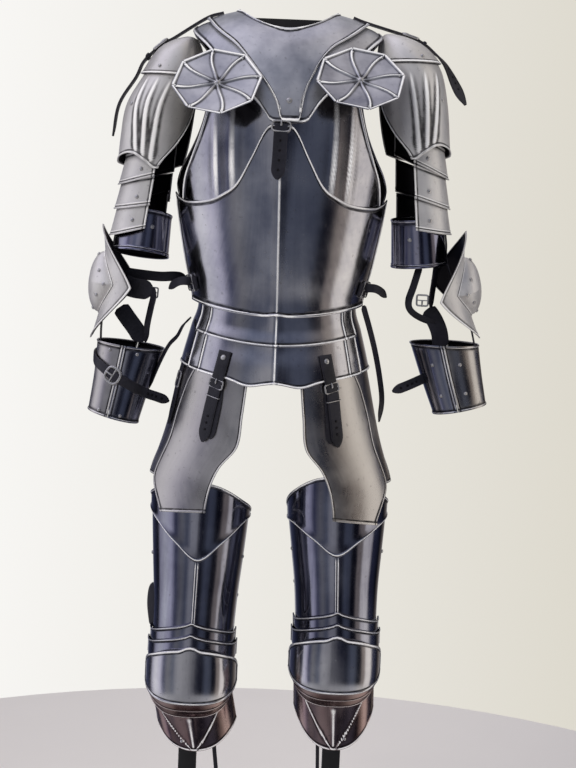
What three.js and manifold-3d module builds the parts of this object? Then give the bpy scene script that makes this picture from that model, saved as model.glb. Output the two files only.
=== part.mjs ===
// A steel half armour, from the neck to below the knees, hung on its black display stand.
// Millimetres, +Z up. The front faces -Y, so the wearer's left is +X. The origin is the centre of the
// stand's underside. Every plate is a wall of sheet steel worked out over a surface: rings for the body,
// arms and legs, a turned form for the knees, a wrapped diamond for the elbows.
import * as THREE from 'three';
import { mergeVertices } from 'three/addons/utils/BufferGeometryUtils.js';
import Module from 'manifold-3d';

const wasm = await Module();
wasm.setup();

const degree = Math.PI / 180;
const steel = 2; // thickness of a plate
const seam = 0.9; // gap between plates that lap
const layer = steel + seam; // how far one plate lies over the next
const leather = 3; // thickness of a strap

const material = {
  steel: new THREE.MeshStandardMaterial({ color: 0xb4b4ba, roughness: 0.25, metalness: 1 }),
  darkSteel: new THREE.MeshStandardMaterial({ color: 0x8d8d98, roughness: 0.3, metalness: 1 }),
  leather: new THREE.MeshStandardMaterial({ color: 0x16141a, roughness: 0.6, metalness: 0 }),
  stand: new THREE.MeshStandardMaterial({ color: 0x0e0e10, roughness: 0.55, metalness: 0 }),
};

// Reading tables

const clamp = THREE.MathUtils.clamp;
const mix = THREE.MathUtils.lerp;

// A table's row at a place between its rows, along a smooth curve through them.
function rowAt(rows, at) {
  const last = rows.length - 1;
  const place = clamp(at, 0, last);
  const i = Math.min(Math.floor(place), last - 1);
  const f = place - i;
  const found = {};
  for (const name of Object.keys(rows[0])) {
    const [a, b, c, d] = [-1, 0, 1, 2].map((k) => rows[clamp(i + k, 0, last)][name]);
    found[name] = b + 0.5 * f * (c - a + f * (2 * a - 5 * b + 4 * c - d + f * (3 * (b - c) + d - a)));
  }
  return found;
}

// The wanted column where the key column has a value, along a smooth curve. The key column rises.
function look(rows, key, value, wanted) {
  const last = rows.length - 1;
  let i = 0;
  while (i < last - 1 && rows[i + 1][key] < value) i++;
  const slope = (k) => {
    const [before, after] = [rows[Math.max(k - 1, 0)], rows[Math.min(k + 1, last)]];
    return (after[wanted] - before[wanted]) / (after[key] - before[key]);
  };
  const [p, q] = [rows[i], rows[i + 1]];
  const span = q[key] - p[key];
  const f = clamp((value - p[key]) / span, 0, 1);
  const bend = f * f * (3 - 2 * f);
  const ease = f * (1 - f) * span * (slope(i) * (1 - f) - slope(i + 1) * f);
  return mix(p[wanted], q[wanted], bend) + ease;
}

// Surfaces
// A surface is a function of a place down it and an angle round it. Angle 0 is the front, 90 is +X.

function ringSurface(rows) {
  return (at, angle) => {
    const row = rowAt(rows, at);
    const [s, c] = [Math.sin(angle), Math.cos(angle)];
    const depth = c > 0 ? row.front : row.back;
    const zEnd = c > 0 ? row.zFront : row.zBack;
    const ridge = row.keel * Math.exp(-((Math.atan2(s, c) / (9 * degree)) ** 2));
    return new THREE.Vector3(
      row.x + row.half * s,
      row.y - depth * c - ridge,
      row.zSide + (zEnd - row.zSide) * c * c + row.tilt * row.half * s,
    );
  };
}

// A plain ring. It is level, or tilts up to the outside.
const level = (z, x, half, front, back = front, y = 0, tilt = 0) => ({
  x, y, half, front, back, keel: 0, tilt, zFront: z, zSide: z, zBack: z,
});

// The point that is a distance out from a surface.
function lifted(surface, at, angle, lift) {
  const step = 1e-3;
  const down = surface(at + step, angle).sub(surface(at - step, angle));
  const round = surface(at, angle + step).sub(surface(at, angle - step));
  return surface(at, angle).addScaledVector(down.cross(round).normalize(), lift);
}

// The place down a surface where it passes a height.
function placeAtHeight(surface, z, angle, first, last) {
  let [above, below] = [first, last];
  for (let k = 0; k < 32; k++) {
    const middle = (above + below) / 2;
    if (surface(middle, angle).z > z) above = middle;
    else below = middle;
  }
  return (above + below) / 2;
}

// Walls and straps

function volumeOf(points, index) {
  let sum = 0;
  for (let i = 0; i < index.length; i += 3) {
    const [a, b, c] = [points[index[i]], points[index[i + 1]], points[index[i + 2]]];
    sum += a.dot(new THREE.Vector3().crossVectors(b, c));
  }
  return sum / 6;
}

function closedGeometry(points, index) {
  if (volumeOf(points, index) < 0) index.reverse();
  return new THREE.BufferGeometry().setFromPoints(points).setIndex(index);
}

// A wall between two grids of points, across by down cells. A tube's grids meet round the back.
function wallBetween(outer, inner, across, down, tube = false) {
  const columns = tube ? across : across + 1;
  const half = outer.length;
  const index = [];
  const quad = (a, b, c, d) => index.push(a, b, c, a, c, d);
  const at = (i, j) => j * columns + (i % columns);
  for (let j = 0; j < down; j++) {
    for (let i = 0; i < across; i++) {
      const [a, b, c, d] = [at(i, j), at(i, j + 1), at(i + 1, j + 1), at(i + 1, j)];
      quad(a, b, c, d);
      quad(half + a, half + d, half + c, half + b);
    }
  }
  for (let i = 0; i < across; i++) {
    quad(at(i, 0), at(i + 1, 0), half + at(i + 1, 0), half + at(i, 0));
    quad(at(i + 1, down), at(i, down), half + at(i, down), half + at(i + 1, down));
  }
  for (let j = 0; j < down && !tube; j++) {
    quad(at(0, j + 1), at(0, j), half + at(0, j), half + at(0, j + 1));
    quad(at(across, j), at(across, j + 1), half + at(across, j + 1), half + at(across, j));
  }
  return closedGeometry([...outer, ...inner], index);
}

// A plate over a surface. place(u, v) gives its place down and its angle round, u across and v down.
// Relief stands out from the outer face alone, so the inside stays plain.
function plate(surface, place, { across, down, lift = 0, wall = steel, relief = () => 0, tube = false }) {
  const [outer, inner] = [[], []];
  for (let j = 0; j <= down; j++) {
    for (let i = 0; i < (tube ? across : across + 1); i++) {
      const [u, v] = [i / across, j / down];
      const [at, angle] = place(u, v);
      outer.push(lifted(surface, at, angle, lift + relief(u, v)));
      inner.push(lifted(surface, at, angle, lift - wall));
    }
  }
  return wallBetween(outer, inner, across, down, tube);
}

// A flat strap along a smooth line of points, each with the way that its face looks. Its tail is cut
// to a point.
function strap(line, { width, steps, thickness = leather, point = 0 }) {
  const curve = new THREE.CatmullRomCurve3(line.map(({ at }) => at));
  const facing = new THREE.CatmullRomCurve3(line.map(({ at, out }) => at.clone().addScaledVector(out, 10)));
  const length = curve.getLength();
  const corners = [];
  for (let k = 0; k <= steps; k++) {
    const t = curve.getUtoTmapping(k / steps);
    const centre = curve.getPoint(t);
    const ahead = curve.getTangent(t);
    const side = facing.getPoint(t).sub(centre).cross(ahead).normalize();
    const out = new THREE.Vector3().crossVectors(ahead, side);
    const left = length * (1 - k / steps);
    const half = (width / 2) * (left < point ? 0.2 + (0.8 * left) / point : 1);
    for (const [a, b] of [[-1, -1], [1, -1], [1, 1], [-1, 1]]) {
      corners.push(centre.clone().addScaledVector(side, a * half).addScaledVector(out, (b * thickness) / 2));
    }
  }
  const index = [0, 2, 1, 0, 3, 2];
  for (let k = 0; k < steps; k++) {
    for (let e = 0; e < 4; e++) {
      const [a, b] = [4 * k + e, 4 * k + ((e + 1) % 4)];
      index.push(a, b, b + 4, a, b + 4, a + 4);
    }
  }
  const end = 4 * steps;
  index.push(end, end + 1, end + 2, end, end + 2, end + 3);
  return closedGeometry(corners, index);
}

// Solids that are joined

function solidOf(geometry) {
  const bare = geometry.index ? geometry.toNonIndexed() : geometry.clone();
  bare.deleteAttribute('normal');
  bare.deleteAttribute('uv');
  const merged = mergeVertices(bare, 1e-3);
  return new wasm.Manifold(
    new wasm.Mesh({
      numProp: 3,
      vertProperties: merged.attributes.position.array,
      triVerts: new Uint32Array(merged.index.array),
    }),
  );
}

function joined(...geometries) {
  const mesh = geometries.map(solidOf).reduce((a, b) => a.add(b)).getMesh();
  return new THREE.BufferGeometry()
    .setAttribute('position', new THREE.BufferAttribute(mesh.vertProperties, 3))
    .setIndex(new THREE.BufferAttribute(mesh.triVerts, 1));
}

function box(width, depth, height, x, y, z) {
  return new THREE.BoxGeometry(width, depth, height).translate(x, y, z + height / 2);
}

// A line in a plane square to one direction, with the way that each point's face looks.
function flatLine(points, along) {
  return points.map((at, i) => {
    const [before, after] = [points[Math.max(i - 1, 0)], points[Math.min(i + 1, points.length - 1)]];
    return { at, out: new THREE.Vector3().subVectors(after, before).cross(along).normalize() };
  });
}

// A buckle's frame, laid flat on a strap at one of its line's points.
function buckleOn(line, i, { wide, tall, bar, thick }) {
  const outline = (w, h) => [[-w, -h], [w, -h], [w, h], [-w, h]].map(([x, y]) => new THREE.Vector2(x / 2, y / 2));
  const shape = new THREE.Shape(outline(wide, tall));
  shape.holes.push(new THREE.Path(outline(wide - 2 * bar, tall - 2 * bar).reverse()));
  const frame = new THREE.ExtrudeGeometry(shape, { depth: thick, bevelEnabled: false });
  const [centre, out] = [line[i].at, line[i].out.clone()];
  const ahead = line[i + 1].at.clone().sub(centre);
  ahead.addScaledVector(out, -ahead.dot(out)).normalize();
  const turned = new THREE.Matrix4().makeBasis(new THREE.Vector3().crossVectors(ahead, out), ahead, out);
  return frame.applyMatrix4(turned).translate(centre.x, centre.y, centre.z);
}

function piece(name, geometry, finish) {
  const mesh = new THREE.Mesh(geometry, finish);
  mesh.name = name;
  return mesh;
}

// The body
// Rings of the body, from the neck to the ends of the tassets. A ring's front, side and back have their
// own heights, because the neck rises at the sides and the shoulders slope.
const ring = (half, front, back, zFront, zSide, zBack, keel = 0) => ({
  x: 0, y: 0, half, front, back, keel, tilt: 0, zFront, zSide, zBack,
});
const bodyRings = [
  ring(70, 58, 60, 1494, 1520, 1508), // neck
  ring(102, 84, 80, 1470, 1511, 1484), // collar
  ring(138, 106, 98, 1430, 1493, 1446), // shoulder
  ring(160, 122, 110, 1380, 1440, 1400, 1), // upper chest
  ring(162, 130, 114, 1320, 1340, 1330, 3), // chest
  ring(153, 128, 108, 1240, 1245, 1245, 4), // ribs
  ring(139, 119, 98, 1160, 1165, 1165, 4), // belly
  ring(125, 106, 88, 1085, 1100, 1098, 3), // waist
  ring(135, 116, 100, 1043, 1060, 1060, 2), // hip
  ring(149, 130, 114, 990, 1006, 1004, 1), // lower edge of the skirt
  ring(172, 130, 114, 900, 905, 905), // thigh
  ring(196, 124, 108, 820, 825, 825), // low thigh
  ring(200, 122, 106, 770, 772, 772), // below the tassets
];
const row = { neck: 0, collar: 1, shoulder: 2, ribs: 5, waist: 7, hip: 8, skirt: 9, end: 12 };
const body = ringSurface(bodyRings);
const bodyPlace = (z, angle) => [placeAtHeight(body, z, angle, row.neck, row.end), angle];

// How far round the chest the plates reach at each height: the armholes are cut out above the ribs.
const breastSide = [
  { z: 1200, angle: 70 }, { z: 1250, angle: 70 }, { z: 1280, angle: 65 }, { z: 1310, angle: 56 },
  { z: 1345, angle: 48 }, { z: 1390, angle: 42 }, { z: 1445, angle: 38 },
];
const backSide = [
  { z: 1090, angle: 105 }, { z: 1250, angle: 103 }, { z: 1285, angle: 80 }, { z: 1320, angle: 62 },
  { z: 1370, angle: 50 }, { z: 1450, angle: 44 },
];

function breastplate() {
  const [top, bottom] = [1442, 1205];
  const place = (u, v) => {
    const z = mix(top, bottom, v);
    return bodyPlace(z, (2 * u - 1) * look(breastSide, 'z', z, 'angle') * degree);
  };
  return plate(body, place, { across: 14, down: 8 });
}

// The lower breastplate, over the upper one. Its top edge rises to a blunt point at the breastbone.
const plackartSide = 80;
const plackartLift = layer + 0.7;
const plackartLean = -1.8; // degrees that the point stands to the wearer's right
const plackartTop = [
  { angle: 0, z: 1361 }, { angle: 6.5, z: 1357 }, { angle: 14, z: 1317 }, { angle: 22, z: 1279 },
  { angle: 30, z: 1263 }, { angle: 41, z: 1252 }, { angle: 61, z: 1249 }, { angle: 80, z: 1260 },
];

function plackart() {
  const place = (u, v) => {
    const side = 2 * u - 1;
    const angle = plackartSide * Math.sign(side) * Math.abs(side) ** 1.3;
    const [top] = bodyPlace(look(plackartTop, 'angle', Math.abs(angle), 'z'), angle * degree);
    return [mix(top, row.waist, v), (angle + plackartLean * (1 - Math.abs(side)) * (1 - v)) * degree];
  };
  return plate(body, place, { across: 20, down: 7, lift: plackartLift });
}

function backplate() {
  const top = 1450;
  const place = (u, v) => {
    const bottom = 1098;
    const z = mix(top, bottom, v ** 0.85);
    return bodyPlace(z, (180 + (2 * u - 1) * look(backSide, 'z', z, 'angle')) * degree);
  };
  return plate(body, place, { across: 16, down: 9, lift: -0.25 });
}

// The gorget's plates run from the neck to an outer edge that is a long tongue in front.
const gorgetFrontEdge = [
  { angle: 0, z: 1364.5 }, { angle: 8.7, z: 1365.5 }, { angle: 12.3, z: 1378 }, { angle: 15.5, z: 1389.5 },
  { angle: 22, z: 1406 }, { angle: 36, z: 1438 }, { angle: 59, z: 1474 }, { angle: 90, z: 1498 },
];
const gorgetBackEdge = [
  { angle: 90, z: 1498 }, { angle: 120, z: 1474 }, { angle: 150, z: 1430 }, { angle: 180, z: 1405 },
];
const gorgetSeam = 1.2; // degrees left open on each side of the shoulder line
const gorgetLean = 2.6; // degrees that the front plate's foot stands to the wearer's left

function gorgetPlate(edge, middle, across, down, lean = 0) {
  const reach = 90 - gorgetSeam;
  const place = (u, v) => {
    const side = 2 * u - 1;
    const angle = middle + reach * Math.sign(side) * Math.abs(side) ** 1.15;
    const fromFront = middle === 0 ? Math.abs(angle) : 180 - Math.abs(180 - angle);
    const [outerEdge] = bodyPlace(look(edge, 'angle', fromFront, 'z'), angle * degree);
    return [mix(row.neck, outerEdge, v), (angle + lean * (1 - Math.abs(side)) * v) * degree];
  };
  return plate(body, place, { across, down, lift: layer + 0.6 });
}

// The collar lies over the front plate, and a tongue of it runs down to the front plate's foot. Each row
// is a point of its edge, and lean is how far that point stands to the wearer's left, in degrees.
const collarEdge = [
  { angle: 0, z: 1364.5, lean: 2.7 }, { angle: 2.6, z: 1364.5, lean: 2.7 }, { angle: 4.3, z: 1367, lean: 2.7 },
  { angle: 5.6, z: 1386, lean: 2.3 }, { angle: 8, z: 1402.5, lean: 1.4 }, { angle: 12.6, z: 1421, lean: 0.3 },
  { angle: 20.9, z: 1445, lean: -1.3 }, { angle: 32, z: 1465, lean: -2 }, { angle: 46, z: 1480, lean: -1.4 },
  { angle: 69, z: 1499, lean: -0.4 }, { angle: 88.8, z: 1507, lean: 0 },
];
const collarLift = 2 * layer + 2.15;

function collar() {
  const steps = collarEdge.length - 1;
  const place = (u, v) => {
    const side = 2 * u - 1;
    const edge = rowAt(collarEdge, Math.abs(side) * steps);
    const angle = (Math.sign(side) * mix(Math.abs(side) * 88.8, edge.angle, Math.sqrt(v)) + edge.lean * v) * degree;
    const [edgePlace] = bodyPlace(edge.z, angle);
    return [mix(row.neck, edgePlace, v), angle];
  };
  return plate(body, place, { across: 2 * steps, down: 5, lift: collarLift });
}

// Hoops of the skirt. Each upper one lies over the next, and the back hoop lies under both.
const fauldSide = 62;
const culetSide = 60;

function skirtHoop(from, to, lift, across, down, dip = () => 0) {
  const place = (u, v) => {
    const angle = (2 * u - 1) * fauldSide;
    return [mix(from, to, v) + dip(Math.abs(angle)) * v, angle * degree];
  };
  return plate(body, place, { across, down, lift });
}

// The lower hoop's edge hangs in a shallow point on each side of its middle.
const skirtDip = (angle) => 0.09 * Math.exp(-(((angle - 15) / 9) ** 2));

function culet() {
  const place = (u, v) => [mix(6.75, row.skirt, v), mix(culetSide, 360 - culetSide, u) * degree];
  return plate(body, place, { across: 22, down: 4, lift: -2 * layer });
}

// Tassets hang under the skirt. A row gives the height and the angles of the inner and outer edges.
const tassetEdges = [
  { z: 780, inner: 29, outer: 57 }, { z: 800, inner: 28.5, outer: 61 }, { z: 835, inner: 27, outer: 69.5 },
  { z: 862, inner: 24, outer: 68.5 }, { z: 893, inner: 17, outer: 65.5 }, { z: 940, inner: 16, outer: 64.5 },
  { z: 982, inner: 15.4, outer: 60.5 }, { z: 1000, inner: 15, outer: 57 },
];
const rearTassetEdges = [
  { z: 832, inner: 57, outer: 84 }, { z: 862, inner: 55, outer: 96 }, { z: 900, inner: 52, outer: 102 },
  { z: 960, inner: 51, outer: 104 }, { z: 1012, inner: 50, outer: 104 },
];
// Heights of the front tasset's lower edge, at its inner and outer corners
const tassetFoot = { l: [785, 773], r: [790, 781] };

function tasset(edges, [innerFoot, outerFoot], topRise, lift, across, down) {
  const place = (u, v) => {
    const angleAt = (z) => mix(look(edges, 'z', z, 'inner'), look(edges, 'z', z, 'outer'), u);
    const skirtEdge = body(row.skirt, angleAt(995) * degree).z;
    const z = mix(skirtEdge + topRise, mix(innerFoot, outerFoot, u), v);
    return bodyPlace(z, angleAt(z) * degree);
  };
  return plate(body, place, { across, down, lift });
}

// Straps on the body

const backwards = new THREE.Vector3(0, 1, 0);
const strapBuckle = { wide: 32, tall: 26, bar: 4, thick: 4 };

// A point over a surface, with the way that the surface faces there.
function over(surface, [at, angle], lift) {
  const point = lifted(surface, at, angle, lift);
  return { at: point, out: lifted(surface, at, angle, lift + 1).sub(point) };
}

// A line over the body through rows of height, angle and distance out.
const bodyLine = (rows) => rows.map(({ z, angle, out }) => over(body, bodyPlace(z, angle * degree), out));

function breastStrap() {
  const clear = plackartLift + 0.8 + leather / 2;
  const line = bodyLine([
    { z: 1361, angle: -1.4, out: clear + 1 }, { z: 1342, angle: -1.6, out: clear + 1 },
    { z: 1317, angle: -1.8, out: clear }, { z: 1284, angle: -2.4, out: clear },
  ]);
  const tail = strap(line, { width: 20, steps: 6, point: 18 });
  return joined(tail, buckleOn(line, 1, strapBuckle));
}

// The strap and buckle that carry a tasset: riveted to the skirt, it falls over the tasset's face.
function tassetStrap() {
  const onSkirt = -layer + seam + leather / 2;
  const onTasset = onSkirt - layer;
  const line = bodyLine([
    { z: 1033, angle: 31.7, out: onSkirt }, { z: 1005, angle: 32.8, out: onSkirt + 0.3 },
    { z: 978, angle: 34.5, out: mix(onSkirt, onTasset, 0.4) }, { z: 940, angle: 35, out: onTasset + 0.3 },
    { z: 897, angle: 35, out: onTasset },
  ]);
  const tail = strap(line, { width: 20, steps: 8, point: 16 });
  return joined(tail, buckleOn(line, 2, strapBuckle));
}

// A strap across the side seam of the cuirass, just above the waist.
function waistStrap() {
  const onFront = plackartLift + 0.8 + leather / 2;
  const line = bodyLine([
    { z: 1128, angle: 62, out: onFront }, { z: 1127, angle: 70, out: onFront },
    { z: 1126, angle: 78, out: onFront }, { z: 1125, angle: 88, out: onFront - 1 },
    { z: 1124, angle: 100, out: onFront - layer + 0.3 }, { z: 1123, angle: 114, out: onFront - layer + 0.3 },
  ]);
  const tail = strap(line, { width: 20, steps: 10, point: 14 });
  return joined(tail, buckleOn(line, 1, strapBuckle));
}

// The octagonal discs

const disc = { radius: 65, ridge: 2, crown: -4, wall: 2.2 };

// Eight flutes run from the middle to the corners, raised over a plain back.
function besagew() {
  const [outer, inner] = [[], []];
  const [sides, rings] = [16, 3];
  for (let j = 0; j <= rings; j++) {
    const reach = mix(0.06, 1, j / rings);
    for (let i = 0; i < sides; i++) {
      const corner = i % 2 === 0;
      const radius = disc.radius * reach * (corner ? 1 : Math.cos(Math.PI / 8));
      const turn = (i / sides) * 2 * Math.PI;
      const raised = disc.crown * (1 - reach) + (corner ? disc.ridge : 0) + (j === rings ? 0.6 : 0);
      const [x, y] = [radius * Math.cos(turn), radius * Math.sin(turn)];
      outer.push(new THREE.Vector3(x, y, disc.wall + raised));
      inner.push(new THREE.Vector3(x, y, disc.crown * (1 - reach)));
    }
  }
  return wallBetween(outer, inner, sides, rings, true);
}

// The arms, made for the wearer's left

const shoulderRings = {
  l: [
    level(1499, 147, 6, 16), level(1493, 161, 20, 34), level(1479, 173, 34, 48), level(1450, 184, 46, 60),
    level(1400, 191, 51, 66, 64), level(1345, 196, 52, 64, 60), level(1300, 199, 53, 58, 56),
  ],
  r: [
    level(1483, 142, 6, 16), level(1477, 152, 17, 30), level(1463, 160, 30, 44), level(1430, 169, 42, 57),
    level(1385, 185, 51, 64, 62), level(1335, 191, 53, 62, 58), level(1284, 194, 54, 57, 55),
  ],
};
const shoulders = { l: ringSurface(shoulderRings.l), r: ringSurface(shoulderRings.r) };
const shoulderPlace = (side, z, angle) => [placeAtHeight(shoulders[side], z, angle, 0, 6), angle];

// Where the shoulder plate ends in front and behind, by height under its top edge, and along its foot, by
// angle from the front. Its rear wing reaches further in than its front. The heights are for the wearer's left.
const pauldronTop = { l: 1464, r: 1442 };
const pauldronDrop = { l: 0, r: -28 };
const pauldronFront = [
  { z: 1310, angle: -6 }, { z: 1332, angle: -18 }, { z: 1356, angle: -44 }, { z: 1395, angle: -74 },
  { z: 1470, angle: -84 },
];
const pauldronRear = [
  { z: 1310, angle: 222 }, { z: 1332, angle: 236 }, { z: 1356, angle: 246 }, { z: 1395, angle: 256 },
  { z: 1470, angle: 264 },
];
const pauldronFoot = [
  { angle: -90, z: 1340 }, { angle: -6, z: 1320 }, { angle: 10, z: 1330 }, { angle: 34, z: 1341 },
  { angle: 66, z: 1336 }, { angle: 96, z: 1326 }, { angle: 190, z: 1318 }, { angle: 280, z: 1340 },
];

function pauldron(side) {
  const [top, drop] = [pauldronTop[side], pauldronDrop[side]];
  const place = (u, v) => {
    const flat = mix(top - drop, 1322, v);
    const angle = mix(look(pauldronFront, 'z', flat, 'angle'), look(pauldronRear, 'z', flat, 'angle'), u);
    const z = mix(top, look(pauldronFoot, 'angle', angle, 'z') + drop, v);
    return shoulderPlace(side, z, angle * degree);
  };
  return plate(shoulders[side], place, { across: 18, down: 6 });
}

const lameLift = { l: layer + 0.7, r: layer + 1.3 };

function shoulderLame(side) {
  const foot = side === 'l' ? 2.75 : 3.05;
  const place = (u, v) => [mix(0.25, foot, v), mix(-88, 268, u) * degree];
  return plate(shoulders[side], place, { across: 18, down: 3, lift: lameLift[side] });
}

// Hoops of the upper arm, and the cannon that they run down to. Their axis leans outwards. A hoop's foot
// is given where it crosses the front, and it drops to the outside.
const armX = (side, z) => (side === 'l' ? 194 + 0.1 * (1340 - z) : 184 + 0.15 * (1340 - z));
const armHoops = {
  l: [
    { foot: 1313, drop: 22, high: 46 }, { foot: 1262, drop: 15, high: 50 }, { foot: 1216, drop: 6, high: 50 },
  ],
  r: [
    { foot: 1279, drop: 14, high: 46 }, { foot: 1237, drop: 8, high: 44 }, { foot: 1202, drop: 13, high: 50 },
  ],
};
const hoop = { top: 45.6, foot: 50, front: -8, back: 216 };

function armHoop(side, { foot, drop, high }) {
  const ringOf = (z, half) => level(z, armX(side, z - drop), half, half + 2, half + 2, 0, -drop / half);
  const surface = ringSurface([ringOf(foot + high, hoop.top), ringOf(foot, hoop.foot)]);
  const place = (u, v) => [v, mix(hoop.front, hoop.back, u) * degree];
  return plate(surface, place, { across: 14, down: 1, wall: 1.8 });
}

const cannon = { foot: -42, topHalf: 38.5, footHalf: 42, tilt: 5.7 };

function upperCannon(top) {
  const ringOf = (z, half) => level(z, 0, half, half);
  const surface = ringSurface([ringOf(top, cannon.topHalf), ringOf(cannon.foot, cannon.footHalf)]);
  return plate(surface, (u, v) => [v, u * 2 * Math.PI], { across: 20, down: 1, wall: 1.8, tube: true });
}

// The elbow: a diamond of sheet wrapped round the outside of the joint, with a keeled cop in its middle.
const elbow = { wrap: 52, tall: 87, wide: 74, copShare: 0.53, cop: 24, flare: 13 };

function elbowPoint(share, turn, out) {
  const [c, s] = [Math.cos(turn), Math.sin(turn)];
  const reach = (Math.abs(c / elbow.wide) ** 1.15 + Math.abs(s / elbow.tall) ** 1.15) ** (-1 / 1.15);
  const [round, high] = [share * reach * c, share * reach * s];
  const angle = round / elbow.wrap;
  const inCop = clamp(1 - (share / elbow.copShare) ** 2, 0, 1);
  const bulge = elbow.cop * inCop ** 0.62 - 1.6 * inCop * Math.abs(high) / elbow.tall;
  const radius = elbow.wrap + bulge + elbow.flare * (Math.abs(high) / elbow.tall) ** 1.5 + out;
  return new THREE.Vector3(radius * Math.cos(angle), -radius * Math.sin(angle), high);
}

function couter() {
  const [spokes, rings] = [20, 6];
  const shares = [0.05, 0.25, 0.42, elbow.copShare, 0.62, 0.8, 1];
  const [outer, inner] = [[], []];
  for (let j = 0; j <= rings; j++) {
    for (let i = 0; i < spokes; i++) {
      const turn = (i / spokes) * 2 * Math.PI;
      outer.push(elbowPoint(shares[j], turn, 0));
      inner.push(elbowPoint(shares[j], turn, -steel));
    }
  }
  const cap = wallBetween(outer, inner, spokes, rings, true);
  return joined(cap, elbowBoss());
}

// The plug that closes the middle of the cop, where its spokes meet.
function elbowBoss() {
  const boss = new THREE.CylinderGeometry(6.5, 6.5, 3.4, 10).rotateZ(Math.PI / 2);
  return boss.translate(elbow.wrap + elbow.cop - 1.6, 0, 0);
}

// The arms hang a little differently, so each has its own lean, elbow and rings of the forearm.
const armPoses = {
  l: {
    cannonLean: 3, cannonTop: 30, elbowX: 231, elbowZ: 1122, elbowLean: 12, elbowNod: 14, hangInside: 4,
    forearm: [
      level(1047, 255.5, 52, 46, 46, -4, 0), level(996, 269, 45.5, 40, 40, -10, 0.12),
      level(949, 283, 39.5, 35, 35, -16, 0.23),
    ],
  },
  r: {
    cannonLean: -11, cannonTop: 22, elbowX: 209.5, elbowZ: 1114, elbowLean: 5, elbowNod: 0, hangInside: 4.4,
    forearm: [
      level(1027, 219.5, 51, 43, 43, -4, 0.11), level(972, 231, 43, 38, 38, -10, 0.18),
      level(917, 243, 38, 34, 34, -16, 0.26),
    ],
  },
};

// The forearm is two half shells that meet in front and behind.
const forearmSplit = 8;
const forearmGap = 0.4;

function forearmShell(rings, from, to) {
  const place = (u, v) => [2 * v, mix(from + forearmGap, to - forearmGap, u) * degree];
  return plate(ringSurface(rings), place, { across: 10, down: 3, wall: 1.8 });
}

const cannonZ = 1204;

// The leather that the arm's plates hang from: down the outside under the shoulder and the hoops, over the
// cannon, behind the elbow and into the forearm.
const hangLeather = { width: 18, thickness: 1.6 };

function armLeather(side, { elbowX, elbowZ, elbowLean, elbowNod, hangInside, forearm }) {
  const { width, thickness } = hangLeather;
  const bow = 1.5; // how far the middle of a curved plate stands out behind a flat band
  const inShoulder = (z) => {
    const [at, angle] = shoulderPlace(side, z + pauldronDrop[side], 90 * degree);
    return lifted(shoulders[side], at, angle, -steel - bow - thickness);
  };
  const underHoop = (z) => new THREE.Vector3(armX(side, z) + hoop.top - (side === 'l' ? 4.5 : 4.74), 0, z);
  const onCannon = (z) => new THREE.Vector3(armX(side, cannonZ) + (side === 'l' ? 37.5 : 36.9) + 0.149 * (1237 - z), 0, z);
  const inElbow = (high) => {
    const radius = elbow.wrap + elbow.flare * (Math.abs(high) / elbow.tall) ** 1.5;
    const local = new THREE.Vector3(radius - steel - hangInside, 0, high);
    const turn = new THREE.Euler(elbowNod * degree, -elbowLean * degree, 0, 'YXZ');
    return local.applyEuler(turn).add(new THREE.Vector3(elbowX, 0, elbowZ));
  };
  const inForearm = (at) => lifted(ringSurface(forearm), at, 90 * degree, -1.8 - bow - 1.2 - thickness / 2);
  const points = [
    inShoulder(1398), inShoulder(1378), underHoop(1340 + 0.9 * pauldronDrop[side]), underHoop(1296),
    underHoop(1254), onCannon(1230), onCannon(1198), onCannon(1164), inElbow(-50), inForearm(0.3), inForearm(0.7),
  ];
  return strap(flatLine(points, backwards), { width, steps: 22, thickness });
}

// From the gorget over the shoulder: strap, buckle, and the tail that stands off the shoulder plate.
const shoulderTails = {
  l: [[234, 1462], [252, 1431], [268, 1403]],
  r: [[213, 1447], [223, 1425], [247, 1385], [255, 1337]],
};

function shoulderStrap(side) {
  const clear = lameLift[side] + seam + leather / 2;
  const onBody = [96, side === 'l' ? 116 : 121].map((x) => new THREE.Vector3(x, 0, shoulderTop(x) + collarLift + 1.3 + leather / 2));
  const onLame = [0.9, 1.5, 2.1].map((at) => lifted(shoulders[side], at, 90 * degree, clear));
  const tail = shoulderTails[side].map(([x, z]) => new THREE.Vector3(x, -4, z));
  const line = flatLine([...onBody, ...onLame, ...tail], backwards);
  return joined(strap(line, { width: 20, steps: 16, point: 24 }), buckleOn(line, 3, strapBuckle));
}

// The height of the body's shoulder line at a distance from the middle.
function shoulderTop(x) {
  let [near, far] = [row.neck, 3];
  for (let k = 0; k < 24; k++) {
    const middle = (near + far) / 2;
    if (body(middle, 90 * degree).x < x) near = middle;
    else far = middle;
  }
  return body(near, 90 * degree).z;
}

function arm(side, mirrored) {
  const pose = armPoses[side];
  const group = new THREE.Group();
  group.scale.x = mirrored ? -1 : 1;
  const add = (name, geometry, finish = material.steel) => {
    const mesh = piece(`${name}_${side}`, geometry, finish);
    group.add(mesh);
    return mesh;
  };
  add('pauldron', pauldron(side));
  add('shoulder_lame', shoulderLame(side));
  armHoops[side].forEach((row, i) => add(`arm_lame_${i + 1}`, armHoop(side, row)));

  const tube = add('upper_cannon', upperCannon(pose.cannonTop), material.darkSteel);
  tube.position.set(armX(side, cannonZ), 0, cannonZ);
  tube.rotation.set(pose.cannonLean * degree, -cannon.tilt * degree, 0);

  const cap = add('couter', couter());
  cap.position.set(pose.elbowX, 0, pose.elbowZ);
  cap.rotation.set(pose.elbowNod * degree, -pose.elbowLean * degree, 0, 'YXZ');

  const split = side === 'l' ? -forearmSplit : forearmSplit;
  add('vambrace_outer', forearmShell(pose.forearm, split, 180 + split));
  add('vambrace_inner', forearmShell(pose.forearm, 180 + split, 360 + split));
  add('arm_leather', armLeather(side, pose), material.leather);
  add('shoulder_strap', shoulderStrap(side), material.leather);
  return group;
}

// The legs, made for the wearer's left

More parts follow.
